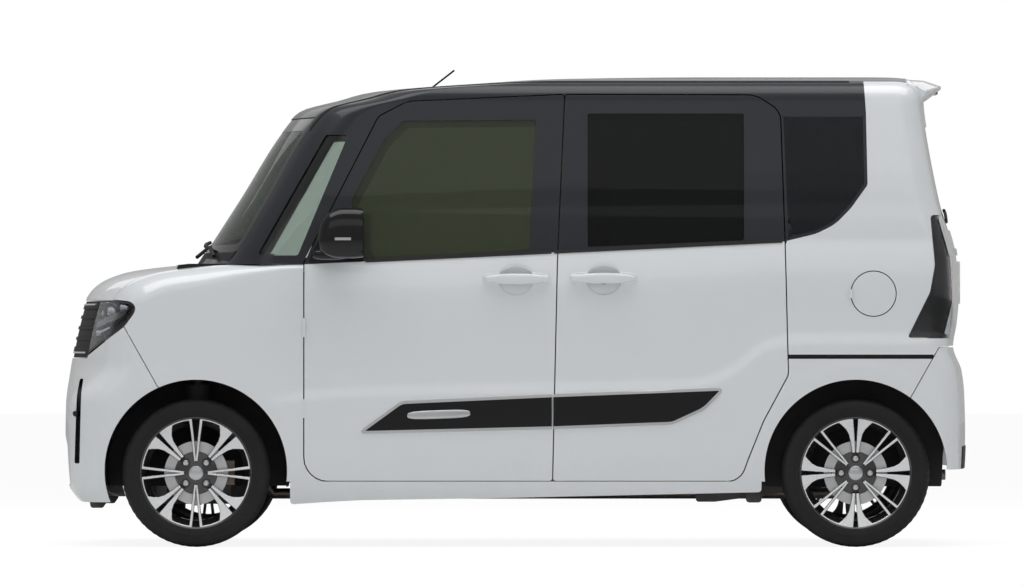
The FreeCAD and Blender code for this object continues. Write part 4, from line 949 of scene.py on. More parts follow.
moulded("lamp_clear", (0.56, 0.58, 0.59), (0.2, 0.3), 0.02, 300, Coat_Weight=0.6)
moulded("lamp_chrome", (0.36, 0.38, 0.40), (0.10, 0.16), 0.01, 900, Metallic=1.0)
fabric("seat_fabric", (0.085, 0.082, 0.080), (0.14, 0.135, 0.13))


# ---- Lower outlines ----
LID_LOW, LID_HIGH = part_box("fuel_lid")
LID_X = (LID_LOW.x + LID_HIGH.x) / 2
LID_Z = (LID_LOW.z + LID_HIGH.z) / 2
LID_R = (LID_HIGH.x - LID_LOW.x) / 2
SILL = [
    (REAR + 0.350, 0.2436, 0),
    (FRONT - 0.350, 0.2436, 0),
    (FRONT - 0.350, 0.158, 0.012),
    (FRONT - 0.464, 0.166, 0),
    (FRONT - 0.611, 0.174, 0),
    (FRONT - 1.127, 0.182, 0),
    (FRONT - 1.790, 0.197, 0),
    (REAR + 0.350, 0.204, 0.012),
]
GARNISH = [
    (FRONT - 0.594, 0.420, 0.012),
    (FRONT - 0.762, 0.542, 0.060),
    (SPLIT, 0.5675, 0),
    (REAR + 0.480, 0.5925, 0.014),
    (REAR + 0.560, 0.510, 0.120),
    (REAR + 0.680, 0.455, 0.060),
    (SPLIT, 0.438, 0),
]


def pebble(name, centre, half, power=2.6, cuts=9):
    """A rounded block: a divided cube drawn onto a superellipsoid."""
    bm = bmesh.new()
    bmesh.ops.create_cube(bm, size=2)
    bmesh.ops.subdivide_edges(bm, edges=bm.edges[:], cuts=cuts, use_grid_fill=True)
    for vert in bm.verts:
        a = [abs(math.tan(part * math.pi / 4)) ** power for part in vert.co]
        reach = sum(a) ** (-1 / power)
        vert.co = [math.tan(part * math.pi / 4) * reach * size + middle
                   for part, size, middle in zip(vert.co, half, centre)]
    bmesh.ops.recalc_face_normals(bm, faces=bm.faces[:])
    return added(name, bm)


def reshaped(piece, rule):
    """Moves each vertex of a piece to where the rule puts it."""
    for vert in piece.data.vertices:
        vert.co = rule(vert.co)
    piece.data.update()
    return piece


def rod(name, points, radius):
    """A round bar along points, made by extruding a circle."""
    bm = bmesh.new()
    points = [Vector(point) for point in points]
    last = (points[1] - points[0]).normalized()
    made = bmesh.ops.create_circle(bm, cap_ends=True, segments=10, radius=radius)
    bmesh.ops.rotate(bm, matrix=last.to_track_quat("Z", "Y").to_matrix(), verts=made["verts"])
    bmesh.ops.translate(bm, verts=made["verts"], vec=points[0])
    faces = bm.faces[:]
    for index in range(1, len(points)):
        made = bmesh.ops.extrude_face_region(bm, geom=faces)
        ring = [item for item in made["geom"] if isinstance(item, bmesh.types.BMVert)]
        faces = [item for item in made["geom"] if isinstance(item, bmesh.types.BMFace)]
        bmesh.ops.translate(bm, verts=ring, vec=points[index] - points[index - 1])
        after = points[min(index + 1, len(points) - 1)] - points[index]
        before = points[index] - points[index - 1]
        heading = (after.normalized() + before.normalized()) if after.length > 1e-6 else before
        swing = last.normalized().rotation_difference(heading.normalized()).to_matrix()
        bmesh.ops.rotate(bm, cent=points[index], matrix=swing, verts=ring)
        last = heading
    bmesh.ops.recalc_face_normals(bm, faces=bm.faces[:])
    return added(name, bm)


def bevelled(bm, angle, offset, segments):
    """Rounds the edges that are sharper than the angle, in radians."""
    sharp = [edge for edge in bm.edges if edge.calc_face_angle(0) > angle]
    bmesh.ops.bevel(bm, geom=sharp, offset=offset, segments=segments, profile=0.5, affect="EDGES", material=-1,
                    clamp_overlap=True)


def plate(name, rows, place, by, edge=0.0012):
    """An outline made solid, with its edges rounded."""
    bm = bmesh.new()
    rounded_face(bm, rows, place, 4)
    pushed(bm, bm.faces[:], Vector(by))
    bevelled(bm, 0.6, edge, 2)
    return added(name, bm)


def spun(name, rows, centre, steps=96, closed=True):
    """A section turned about an axis across the car. Columns of rows: radius, y from the centre."""
    bm = bmesh.new()
    verts = [bm.verts.new((centre.x + radius, centre.y + y, centre.z)) for radius, y in rows]
    edges = [bm.edges.new(ends) for ends in zip(verts, verts[1:] + verts[:1])]
    if not closed:
        bm.edges.remove(edges.pop())
    bmesh.ops.spin(bm, geom=verts + edges, cent=centre, axis=(0, 1, 0), angle=2 * math.pi, steps=steps,
                   use_merge=True)
    bmesh.ops.recalc_face_normals(bm, faces=bm.faces[:])
    return added(name, bm)


def on_surface(name, y, z, front=True):
    """The surface's x near that y and z, at the nose or the tail."""
    xs, ys, zs = SURFACES[name]
    away = np.hypot(ys - y, zs - z) + (np.where(xs > 0, 0, 9) if front else np.where(xs < 0, 0, 9))
    return float(xs.flat[int(away.argmin())])


def fitted(piece, slot, body="body", replaces=(), angle=32):
    """Gives a piece the material that slot names and smooth shading, puts it on its body and hides the CAD nodes that
    it stands for.
    """
    piece.data.materials.clear()
    piece.data.materials.append(MATERIALS[slot])
    smooth(piece, angle)
    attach(piece, body)
    if replaces:
        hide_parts(*replaces)
    return piece


def pair_of(piece, name, slot, replaces=()):
    """The left piece and its mirror image as one piece of the body shell."""
    fitted(both(piece, name), slot, "body", replaces)


def middle_piece(piece, name, slot, body="body", replaces=()):
    """A left half and its mirror image grown together at the middle."""
    fitted(whole(piece), slot, body, replaces).name = name


def left_and_right(piece, name, slot, bodies, replaces=("", "")):
    """The left piece and its mirror image, each on its own body."""
    twin = mirrored(piece, name + "_right")
    piece.name = name + "_left"
    for item, body, node in ((piece, bodies[0], replaces[0]), (twin, bodies[1], replaces[1])):
        fitted(item, slot, body, (node,) if node else ())


# ---- Body panels ----
DOORS = ("door_left", "door_right")

lower, upper, pane = door("front_door", FRONT_DOOR, FRONT_WINDOW, SPLIT - 0.05, HINGE_X + 0.01, HANDLES["front"])
left_and_right(lower, "front_door_panel", "white_paint", DOORS, ("front_door_left", "front_door_right"))
left_and_right(upper, "front_door_frame", "black_paint", DOORS)
left_and_right(pane, "front_door_pane", "door_glass", DOORS,
               ("front_door_glass_left", "front_door_glass_right"))
lower, upper, pane = door("sliding_door", SLIDING_DOOR, SLIDING_WINDOW, SLIDE_REAR - 0.02, SPLIT + 0.01,
                          HANDLES["sliding"])
pair_of(lower, "sliding_door_panels", "white_paint", ["sliding_doors"])
pair_of(upper, "sliding_door_frames", "black_paint")
pair_of(pane, "sliding_door_panes", "dark_glass")

wings = panel("wings", "nose", (HINGE_X, 0.55, 0.24), (NOSE, 1, 1.1),
              [block(HINGE_X + OPENING, NOSE, BONNET_HALF + 0.0065, 1, 0.2436, 2)],
              [side_tool(HEADLAMP, grow=0.003), side_tool(FRONT_BUMPER, grow=0.003)] + arch_tools())
pair_of(wings, "wing_panels", "white_paint", ["front_wings"])

quarters = panel("quarters", "tall", (TAIL, 0.3, 0.16), (HINGE_X, 1, 1.76),
                 [block(TAIL - 0.1, SLIDE_REAR + 0.2, ROOF_HALF, 1, 0.2436, 2)],
                 openings() + arch_tools() + [
                     side_tool(DARK_SIDE), side_tool(TAIL_LAMP, grow=0.002),
                     side_tool(REAR_BUMPER, grow=0.003), barrel(LID_X, LID_Z, 0.086, 0.3, 1.2),
                     block(TAIL - 0.1, GATE_X + 0.004, -1, TAIL_HALF + 0.0045, 0.7, 2),
                     block(TAIL + 0.125, SLIDE_REAR - 0.004, HALF - 0.016, 1, 0.699, 0.715)])
pair_of(quarters, "quarter_panels", "white_paint", ["body_sides"])

sills = panel("sills", "tall", (REAR, 0.5, 0.15), (FRONT, 1, 0.3), [side_tool(SILL)], arch_tools(),
              inset=-0.003)
pair_of(sills, "sill_covers", "white_paint")
corners = panel("corners", "tall", (HINGE_X - 0.15, 0.5, 0.2), (HINGE_X + 0.02, 1, 0.4),
                [block(HINGE_X - 0.13, HINGE_X + OPENING, 0.5, 1, 0.2436, 0.370)], openings([FRONT_DOOR]))
pair_of(corners, "sill_corners", "white_paint")

dark = panel("dark", "tall", (REAR - 0.1, 0.3, 1.0), (FRONT + 0.3, 1, 1.77), [side_tool(DARK_SIDE)],
             openings() + [side_tool(FRONT_QUARTER), front_tool(SCREEN, FRONT - 0.44, FAR),
                           side_tool(REAR_QUARTER, grow=-0.012),
                           block(-2, 2, -1, ROOF_HALF - 0.0005, 1.45, 2)],
             inset=0.0008)
pair_of(dark, "dark_pillars", "black_paint", ["front_pillars"])


middle_piece(panel("bonnet", "nose", (COWL, -0.1, 0.7), (NOSE, 0.62, 1.1),
                   [block(COWL + 0.008 - EDGE, NOSE, -0.1, BONNET_HALF + 0.0022, 0.9165, 2)], thick=0.018),
             "bonnet_panel", "white_paint", "bonnet", ["bonnet"])
middle_piece(panel("roof", "tall", (GATE_X, -0.1, 1.4), (FRONT, 0.62, 1.77),
                   [block(GATE_X + 0.010 - EDGE, FRONT, -0.1, ROOF_HALF, 1.4, 2)],
                   [front_tool(SCREEN, FRONT - 0.44, FAR)]),
             "roof_skin", "black_paint", "body", ["roof_panel"])
strip = panel("strip", "tall", (REAR, 0.5, 1.5), (FRONT, 0.7, 1.77),
              [block(REAR + 0.02, FRONT - 0.42, ROOF_HALF - 0.010, ROOF_HALF + 0.006, 1.4, 2)],
              inset=-0.001, thick=0.012)
pair_of(strip, "roof_strips", "black_plastic")
middle_piece(panel("gate", "tall", (TAIL, -0.1, 0.7), (GATE_X + 0.02, 0.62, 1.77),
                   [block(TAIL - 0.1, GATE_X + EDGE, -0.1, TAIL_HALF + EDGE, 0.7472, 2)],
                   [front_tool(GATE_WINDOW, -FAR, GATE_X - 0.02)]),
             "tailgate_panel", "white_paint", "tailgate", ["tailgate"])
middle_piece(panel("pane", "tall", (TAIL, -0.1, 1.1), (GATE_X, 0.6, 1.65),
                   [front_tool([(y * 1.02, z, r) for y, z, r in GATE_WINDOW], -FAR, GATE_X - 0.02)],
                   inset=0.0055, thick=0.004),
             "tailgate_pane", "dark_glass", "tailgate", ["tailgate_glass"])

# ---- Windscreen and fixed windows ----
# Zones: a name, the surface, and the two corners that a panel is taken between.
SCREEN_ZONE = ("screen", "tall", (HINGE_X - 0.2, -0.1, 1.0), (FRONT + 0.2, 0.7, 1.65))
CLEAR = [(y * 0.93, 1.10 + (z - 1.10) * 0.90 if z > 1.3 else z + 0.03, turn) for y, z, turn in SCREEN]
middle_piece(panel(*SCREEN_ZONE, [front_tool(SCREEN, FRONT - 0.5, FAR)], inset=0.004, thick=0.005),
             "windscreen_pane", "screen_glass", "body", ["windscreen"])
middle_piece(panel(*SCREEN_ZONE, [front_tool(SCREEN, FRONT - 0.5, FAR)],
                   [front_tool(CLEAR, FRONT - 0.5, FAR)], inset=0.0032, thick=0.002),
             "windscreen_border", "gloss_black")
panes = panel("pane", "tall", (FRONT - 0.7, 0.3, 1.0), (FRONT, 1, 1.65),
              [side_tool(FRONT_QUARTER, grow=0.012)], inset=0.0055, thick=0.004)
pair_of(panes, "front_quarter_panes", "clear_glass", ["side_glass"])
panes = panel("pane", "tall", (REAR - 0.1, 0.3, 1.0), (SLIDE_REAR + 0.1, 1, 1.65),
              [side_tool(REAR_QUARTER, grow=-0.001)], openings([SLIDING_DOOR]), inset=0.0015, thick=0.004)
pair_of(panes, "rear_quarter_panes", "dark_glass")

# ---- Front bumper and grille ----
INTAKE = [(-0.470, 0.225, 0.030), (-0.520, 0.375, 0.030), (-0.360, 0.410, 0.060), (0.360, 0.410, 0.060),
          (0.520, 0.375, 0.030), (0.470, 0.225, 0.030)]
SLIT = [(NOSE - 0.058, 0.310, 0.006), (NOSE - 0.078, 0.310, 0.006), (NOSE - 0.086, 0.622, 0.004),
        (NOSE - 0.070, 0.632, 0.010)]
GRILLE_ZONE = ("grille", "nose", (COWL, -0.1, 0.68), (NOSE, 0.5, 0.93))
middle_piece(panel("bumper", "nose", (FRONT, -0.1, 0.14), (NOSE, 1, 0.85),
                   [side_tool(FRONT_BUMPER, -0.2), block(FRONT, NOSE + 0.1, -0.1, 1, 0.166, 0.85)],
                   arch_tools() + [front_tool(INTAKE, 1.5, 2), side_tool(SLIT),
                                   block(1.45, 2, -0.1, LAMP_Y + 0.002, 0.700, 1)]),
             "front_bumper_skin", "white_paint", "body", ["front_bumper"])
middle_piece(panel("backing", "nose", (FRONT, -0.1, 0.14), (NOSE, 0.72, 0.85),
                   [block(1.52, NOSE, -0.1, 0.70, 0.21, 0.640)], inset=0.026, thick=0.008),
             "bumper_backing", "black_plastic")
slit = panel("slit", "nose", (FRONT, 0.5, 0.2), (NOSE, 1, 0.75),
             [block(NOSE - 0.110, NOSE - 0.036, 0.3, 1, 0.290, 0.655)], inset=0.012, thick=0.010)
pair_of(slit, "bumper_slit_backs", "gloss_black")
SENSOR_X, SENSOR_Z = NOSE - 0.062, 0.495
side = max(y for y in np.arange(0.3, HALF, 0.002) if on_surface("nose", y, SENSOR_Z) > SENSOR_X)
sensor = pebble("sensor", (SENSOR_X, side, SENSOR_Z), (0.010, 0.012, 0.011), 2.4, 7)
pair_of(sensor, "bumper_sensors", "gloss_black")
bars = [panel("bar", "nose", (FRONT, -0.1, 0.14), (NOSE, 0.6, 0.6),
              [block(1.55, NOSE, -0.1, 0.50, level - 0.006, level + 0.006)], inset=0.010, thick=0.016)
        for level in (0.262, 0.312, 0.362)]
fitted(whole(joined("intake_bars", bars)), "gloss_black")


def grille_layer(low, high, width, inset, thick):
    """A level layer of the grille, from the middle out to its width."""
    return panel(*GRILLE_ZONE, [block(COWL, NOSE + 0.1, -0.1, width, low, high)], inset=inset, thick=thick)


middle_piece(grille_layer(0.7025, 0.9140, LAMP_Y, 0.004, 0.010), "grille_back", "black_plastic", "body",
             ["grille"])
slats = [grille_layer(level - half, level + half, LAMP_Y, -0.0005, 0.016)
         for level, half in ((0.735, 0.009), (0.775, 0.006), (0.815, 0.006), (0.855, 0.006), (0.894, 0.009))]
fitted(whole(joined("grille_slats", slats)), "black_plastic")
trim = [grille_layer(level - 0.003, level + 0.003, LAMP_Y - 0.06, -0.0015, 0.006) for level in (0.722, 0.902)]
fitted(whole(joined("grille_trim", trim)), "chrome")

# ---- Headlamps ----
LAMP_BAR = [(NOSE - 0.070, 0.790, 0), (NOSE - 0.235, 0.852, 0.004), (NOSE - 0.262, 0.884, 0.004),
            (NOSE - 0.240, 0.880, 0.004), (NOSE - 0.070, 0.812, 0)]
LAMP_STRIP = [(NOSE - 0.080, 0.768, 0.003), (NOSE - 0.190, 0.812, 0.003), (NOSE - 0.190, 0.819, 0.003),
              (NOSE - 0.080, 0.778, 0.003)]


def lamp_part(name, slot, outline, inset, thick, remove=(), replaces=()):
    """A layer of both headlamps, inside an outline of the side view."""
    layer = panel("lamp", "nose", (COWL, LAMP_Y - 0.01, 0.68), (NOSE, 1, 0.93),
                  [side_tool(outline, LAMP_Y + 0.001)], remove, inset, thick)
    pair_of(layer, name, slot, replaces)


lamp_part("headlamp_backs", "gloss_black", HEADLAMP, 0.042, 0.010, replaces=["headlamps"])
lamp_part("headlamp_rims", "gloss_black", HEADLAMP, 0.0015, 0.020,
          [side_tool(HEADLAMP, LAMP_Y - 0.1, grow=-0.007)])
lamp_part("headlamp_lenses", "headlamp", HEADLAMP, 0.0004, 0.002)
lamp_part("headlamp_bars", "gloss_black", LAMP_BAR, 0.008, 0.022)
lamp_part("headlamp_strips", "lamp_chrome", LAMP_STRIP, 0.012, 0.014)
cells = []
for back, z, size in ((0.128, 0.868, 0.017), (0.172, 0.876, 0.018), (0.222, 0.889, 0.016),
                      (0.120, 0.795, 0.012), (0.155, 0.772, 0.011)):
    x = NOSE - back
    y = next(y for y in np.arange(HALF - 0.01, 0.4, -0.004) if on_surface("nose", y, z) > x - 0.001)
    cells.append(pebble("cell", (x - 0.024, y - 0.018, z), (size * 1.1, size * 0.9, size), 4, 5))
pair_of(joined("cells", cells), "headlamp_cells", "lamp_chrome")


# ---- Tail ----
LENS_LOW = [(TAIL - 0.08, 1.040, 0), (TAIL + 0.062, 1.040, 0.01), (TAIL + 0.060, 0.960, 0.02),
            (TAIL + 0.104, 0.790, 0.006), (TAIL - 0.08, 0.790, 0)]
LENS_HIGH = [(TAIL - 0.08, 1.222, 0), (TAIL + 0.124, 1.222, 0.006), (TAIL + 0.080, 1.070, 0.02),
             (TAIL - 0.08, 1.070, 0)]
WING_TIP = [(TAIL + 0.250, 1.7500, 0), (TAIL + 0.160, 1.7440, 0.020), (TAIL + 0.094, 1.7230, 0.006),
            (TAIL + 0.094, 1.7130, 0.004), (TAIL + 0.150, 1.6700, 0.020), (TAIL + 0.215, 1.6500, 0),
            (TAIL + 0.250, 1.7000, 0)]
PLATE = [(-0.165, 0.905, 0.010), (0.165, 0.905, 0.010), (0.165, 1.065, 0.010), (-0.165, 1.065, 0.010)]
STOP_LAMP = [(-0.10, 1.6955, 0.004), (0.10, 1.6955, 0.004), (0.10, 1.7065, 0.004), (-0.10, 1.7065, 0.004)]
BLADE = [(0.02, 1.215), (0.10, 1.232), (0.22, 1.245), (0.34, 1.255)]


def tail_part(name, slot, keep, remove, inset, thick, replaces=()):
    """A layer of both tail lamps."""
    layer = panel("tail", "tall", (TAIL, 0.5, 0.74), (REAR, 1, 1.26), [keep], remove, inset, thick)
    pair_of(layer, name, slot, replaces)


def above_bumper():
    """Keeps the tail lamps clear of the bumper."""
    return [side_tool(REAR_BUMPER, 0.2, grow=0.003)]


def lofted(name, rows, y0, y1, steps, rule):
    """An outline of x and z carried along Y in steps. The rule bends it."""
    bm = bmesh.new()
    faces = rounded_face(bm, rows, lambda a, b: Vector((a, y0, b)))
    for _ in range(steps):
        made = bmesh.ops.extrude_face_region(bm, geom=faces)
        faces = [item for item in made["geom"] if isinstance(item, bmesh.types.BMFace)]
        verts = [item for item in made["geom"] if isinstance(item, bmesh.types.BMVert)]
        bmesh.ops.translate(bm, verts=verts, vec=(0, (y1 - y0) / steps, 0))
    bmesh.ops.recalc_face_normals(bm, faces=bm.faces[:])
    return reshaped(added(name, bm), rule)


def swept_tip(p):
    """The spoiler's ends lie further forward and lower than its middle."""
    out = abs(p.y) / 0.56
    return Vector((p.x + 0.075 * out**3.5 * ramp(TAIL + 0.24 - p.x, 0, 0.14), p.y, p.z - 0.026 * out**4))


middle_piece(panel("bumper", "tall", (TAIL, -0.1, 0.14), (REAR, 1, 0.75),
                   [side_tool(REAR_BUMPER, -0.2), block(TAIL - 0.1, REAR, -0.1, 1, 0.288, 0.85)],
                   arch_tools() + [block(TAIL - 0.1, TAIL + 0.4, -0.1, 0.200, 0.62, 0.7)]),
             "rear_bumper_skin", "white_paint", "body", ["rear_bumper"])
middle_piece(panel("lower", "tall", (TAIL, -0.1, 0.14), (REAR, 0.6, 0.5),
                   [block(TAIL - 0.1, TAIL + 0.2, -0.1, 0.52, 0.288, 0.372)], inset=-0.003, thick=0.010),
             "rear_bumper_valance", "black_plastic")
tail_part("tail_lamp_backs", "gloss_black", side_tool(TAIL_LAMP, TAIL_HALF + 0.0065), above_bumper(),
          0.008, 0.020, ["tail_lamps"])
tail_part("tail_lamp_mirrors", "lamp_clear", side_tool(LENS_LOW, TAIL_HALF + 0.010), (), 0.0035, 0.006)
tail_part("tail_lamp_lines", "lamp_clear", side_tool(LENS_HIGH, TAIL_HALF + 0.010),
          [side_tool(LENS_HIGH, TAIL_HALF - 0.1, grow=-0.006)], 0.0035, 0.006)
tail_part("tail_lamp_reds", "lamp_red",
          block(TAIL - 0.1, REAR, TAIL_HALF + 0.018, TAIL_HALF + 0.045, 0.82, 1.20), (), 0.003, 0.006)
tail_part("tail_lamp_lenses", "tail_lamp", side_tool(TAIL_LAMP, TAIL_HALF + 0.0065), above_bumper(),
          0.0003, 0.002)
fitted(lofted("tailgate_spoiler", WING_TIP, -0.560, 0.560, 32, swept_tip), "white_paint", "tailgate")
stop = plate("stop_lamp", STOP_LAMP, lambda a, b: Vector((TAIL + 0.104, a, b)), (0.03, 0, 0))
fitted(stop, "lamp_red", "tailgate")
board_x = on_surface("tall", 0, 0.985, False) - 0.005
board = plate("rear_blank_plate", PLATE, lambda a, b: Vector((board_x, a, b)), (0.012, 0, 0))
fitted(board, "blank_plate", "tailgate")
middle_piece(panel("band", "tall", (TAIL, -0.1, 1.0), (GATE_X, 0.6, 1.2),
                   [block(TAIL - 0.1, GATE_X, -0.1, 0.40, 1.088, 1.112)], inset=-0.006, thick=0.012),
             "tailgate_bar", "chrome", "tailgate")
wiper = rod("rear_wiper", [(on_surface("tall", y, z, False) - 0.002, y, z) for y, z in BLADE], 0.006)
fitted(wiper, "black_plastic", "tailgate")

# ---- Fuel lid, handles and garnish ----
lid = panel("lid", "tall", (REAR - 0.2, 0.6, 0.8), (REAR + 0.1, 1, 1.1),
            [barrel(LID_X, LID_Z, LID_R + 0.0018, 0.3, 1.2)], thick=0.010)
fitted(lid, "white_paint", "fuel_lid", ["fuel_lid"]).name = "fuel_lid_cover"
ring = carve(barrel(LID_X, LID_Z, 0.098, 0.690, 0.711, "fuel_pocket_ring"), [],
             [barrel(LID_X, LID_Z, 0.0760, 0.5, 0.9)])
dish = barrel(LID_X, LID_Z, 0.0975, 0.684, 0.690, "dish")
fitted(joined("fuel_pocket_ring", [ring, dish]), "black_plastic")


def grip(x, z, key):
    """A door handle: a bowed bar over its hollow, with a cap towards the side that key gives."""
    y = HALF - 0.0045
    bar = pebble("bar", (x, y + 0.006, z), (0.118, 0.0150, 0.0180), 3.2, 13)
    bar = reshaped(bar, lambda p: Vector((p.x, p.y + 0.009 * (1 - ((p.x - x) / 0.118) ** 2),
                                          z + (p.z - z) * (1.10 - 0.30 * ((p.x - x) / 0.118) ** 2))))
    cap = pebble("cap", (x + key * 0.097, y + 0.0085, z), (0.026, 0.0125, 0.0135), 4, 7)
    base = pebble("base", (x, y - 0.0040, z), (0.126, 0.0045, 0.0245), 4, 9)
    rim = carve(barrel(x, HANDLE_Z, 0.0640, y - 0.009, y - 0.0012, "rim"), [],
                [barrel(x, HANDLE_Z, 0.0598, 0.5, 1)])
    rim = reshaped(rim, lambda p: Vector((x + (p.x - x) * 1.10, p.y, HANDLE_Z + (p.z - HANDLE_Z) * 0.95)))
    base = carve(base, [], [cup_tool(x)])
    return joined("grip", [bar, cap, base, rim])


left_and_right(grip(HANDLES["front"], HANDLE_Z + 0.004, -1), "front_door_grip", "white_paint", DOORS,
               ("front_door_handle_left", "front_door_handle_right"))
pair_of(grip(HANDLES["sliding"], HANDLE_Z + 0.006, 1), "sliding_door_grips", "white_paint",
        ["sliding_door_handles"])
lock = barrel(HANDLES["sliding"] + 0.103, HANDLE_Z + 0.006, 0.0075, HALF, HALF + 0.0095, "lock", 24)
pair_of(lock, "sliding_door_locks", "black_plastic")


def garnish(grow, zone, end, inset, thick):
    """A layer of the bar along the doors, within one door."""
    return panel("trim", "tall", (zone[0], 0.6, 0.35), (zone[1], 1, 0.65),
                 [side_tool(GARNISH, grow=grow), block(*end)], inset=inset, thick=thick)


# Columns: grow, inset, thickness.
FACE = (-0.0105, -0.0062, 0.010)
EDGING = (0.0, -0.0040, 0.012)
for zone, end, front in (((SPLIT, HINGE_X), (SPLIT + 0.003, 2, 0, 1, 0, 2), True),
                         ((SLIDE_REAR, SPLIT), (-2, SPLIT - 0.003, 0, 1, 0, 2), False)):
    face, edging = [garnish(grow, zone, end, inset, thick) for grow, inset, thick in (FACE, EDGING)]
    if front:
        left_and_right(face, "front_door_garnish", "gloss_black", DOORS)
        left_and_right(edging, "front_door_garnish_edge", "chrome", DOORS)
    else:
        pair_of(face, "sliding_door_garnish", "gloss_black")
        pair_of(edging, "sliding_door_garnish_edges", "chrome")
BADGE_X = FRONT - 0.902
badge = pebble("badge", (BADGE_X, HALF + 0.0005, 0.4925), (0.118, 0.009, 0.0165), 3.5, 11)
badge = reshaped(badge, lambda p: Vector((p.x, p.y, p.z - 0.035 * (p.x - BADGE_X))))
left_and_right(badge, "front_door_badge", "satin_silver", DOORS)


# ---- Mirrors, mouldings, aerial and wipers ----
MIRROR_LOW, MIRROR_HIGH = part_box("door_mirror_left")
MIRROR = (MIRROR_LOW + MIRROR_HIGH) / 2
MIRROR_X = MIRROR_LOW.x


def mirror_form(p):
    """The housing leans back towards its top and is flatter at its front."""
    ahead = (p.x - MIRROR.x) / 0.105
    up = (p.z - MIRROR.z) / 0.1
    return Vector((p.x - 0.016 * up * (ahead + 1) / 2, p.y, p.z - 0.010 * max(0, ahead) * up))


HOUSING = (MIRROR_X + 0.0605, 0.8295, MIRROR.z + 0.004)
housing = pebble("housing", HOUSING, (0.1135, 0.0625, 0.0935), 2.9, 15)
housing = carve(reshaped(housing, mirror_form), [block(MIRROR_X + 0.006, 1, 0.5, 1, 0.8, 1.5)],
                [block(0, MIRROR_X + 0.014, 0.780, 0.880, MIRROR.z - 0.070, MIRROR.z + 0.078)])
foot = pebble("foot", (MIRROR.x + 0.030, 0.7640, 1.0860), (0.066, 0.0440, 0.0200), 3.2, 9)
SAIL = [(HINGE_X - 0.010, 1.0535, 0.010), (HINGE_X - 0.040, 1.124, 0.010), (HINGE_X - 0.140, 1.140, 0.020),
        (HINGE_X - 0.230, 1.0600, 0.010)]
sail = panel("sail", "tall", (HINGE_X - 0.25, 0.5, 1.0), (HINGE_X, 1, 1.3), [side_tool(SAIL, 0.5)],
             inset=-0.002, thick=0.010)
left_and_right(joined("mirror", [housing, foot, sail]), "door_mirror_shell", "gloss_black", DOORS,
               ("door_mirror_left", "door_mirror_right"))
MIRROR_FACE = [(0.784, MIRROR.z - 0.066, 0.030), (0.876, MIRROR.z - 0.066, 0.030),
               (0.876, MIRROR.z + 0.074, 0.034), (0.784, MIRROR.z + 0.074, 0.034)]
face = plate("face", MIRROR_FACE, lambda a, b: Vector((MIRROR_X + 0.010, a, b)), (0.003, 0, 0), 0.0006)
left_and_right(face, "door_mirror_face", "chrome", DOORS)
light = pebble("light", HOUSING, (0.1145, 0.0630, 0.0945), 2.9, 15)
light = carve(reshaped(light, mirror_form),
              [block(MIRROR_X + 0.050, MIRROR_X + 0.110, 0.850, 1, 1.138, 1.148)])
left_and_right(light, "door_mirror_light", "satin_silver", DOORS)


def belt_seal(ahead, behind, zone):
    """The rubber strip at the foot of a door's glass. ahead and behind are its ends: x, height."""
    rows = [(x, z + rise, 0) for (x, z), rise in ((ahead, -0.004), (behind, -0.004), (behind, 0.010),
                                                  (ahead, 0.010))]
    return panel("belt", "tall", *zone, [side_tool(rows, 0.5)], inset=-0.0035, thick=0.010)


SAIL_REAR = HINGE_X - 0.225
belts = belt_seal((SAIL_REAR, belt(SAIL_REAR)), (SPLIT + 0.004, belt(SPLIT)),
                  ((SPLIT, 0.5, 1.0), (HINGE_X, 1, 1.2)))
left_and_right(belts, "front_door_belt", "rubber_seal", DOORS)
belts = belt_seal((SPLIT - 0.006, belt(SPLIT)), (SLIDE_REAR + 0.010, belt(SLIDE_REAR)),
                  ((SLIDE_REAR, 0.5, 1.0), (SPLIT, 1, 1.3)))
pair_of(belts, "sliding_door_belts", "rubber_seal")
rails = panel("rail", "tall", (TAIL, 0.5, 0.65), (SLIDE_REAR, 1, 0.76),
              [block(TAIL + 0.120, SLIDE_REAR - 0.002, HALF - 0.05, 1, 0.694, 0.720)],
              inset=0.010, thick=0.010)
pair_of(rails, "slide_rails", "black_plastic")
aerial = rod("aerial", [(0.350, 0, ROOF - 0.060), (0.335, 0, ROOF - 0.046), (0.232, 0, ROOF + 0.034)], 0.0035)
fitted(aerial, "black_plastic")
for index, (pivot, tip, rise) in enumerate(((0.47, -0.10, 0.018), (-0.02, -0.56, 0.030))):
    line = [(pivot + (tip - pivot) * share, 1.105 + rise * share * 1.8)
            for share in (0.0, 0.25, 0.5, 0.75, 1.0)]
    line = [(on_surface("tall", abs(y), z) + 0.014, y, z) for y, z in line]
    line[0] = (line[0][0] + 0.02, line[0][1], 1.082)
    fitted(rod("wiper_arm_%d" % index, line, 0.007), "black_plastic")
guards = []
for x, width in ((REAR + 0.3755, 0.034), (FRONT - 0.382, 0.020)):
    rows = [(x - width, 0.205, 0.01), (x + width, 0.205, 0.01), (x + width * 0.8, 0.163, 0.012),
            (x - width * 0.8, 0.163, 0.012)]
    guards.append(plate("guard", rows, lambda a, b: Vector((a, 0.560, b)), (0, 0.018, 0)))
rows = [(1.520, 0.170, 0.005), (1.590, 0.170, 0.005), (1.585, 0.142, 0.010), (1.540, 0.142, 0.010)]
guards.append(plate("guard", rows, lambda a, b: Vector((a, 0.500, b)), (0, 0.012, 0)))
pair_of(joined("guards", guards), "underbody_brackets", "chassis_black")

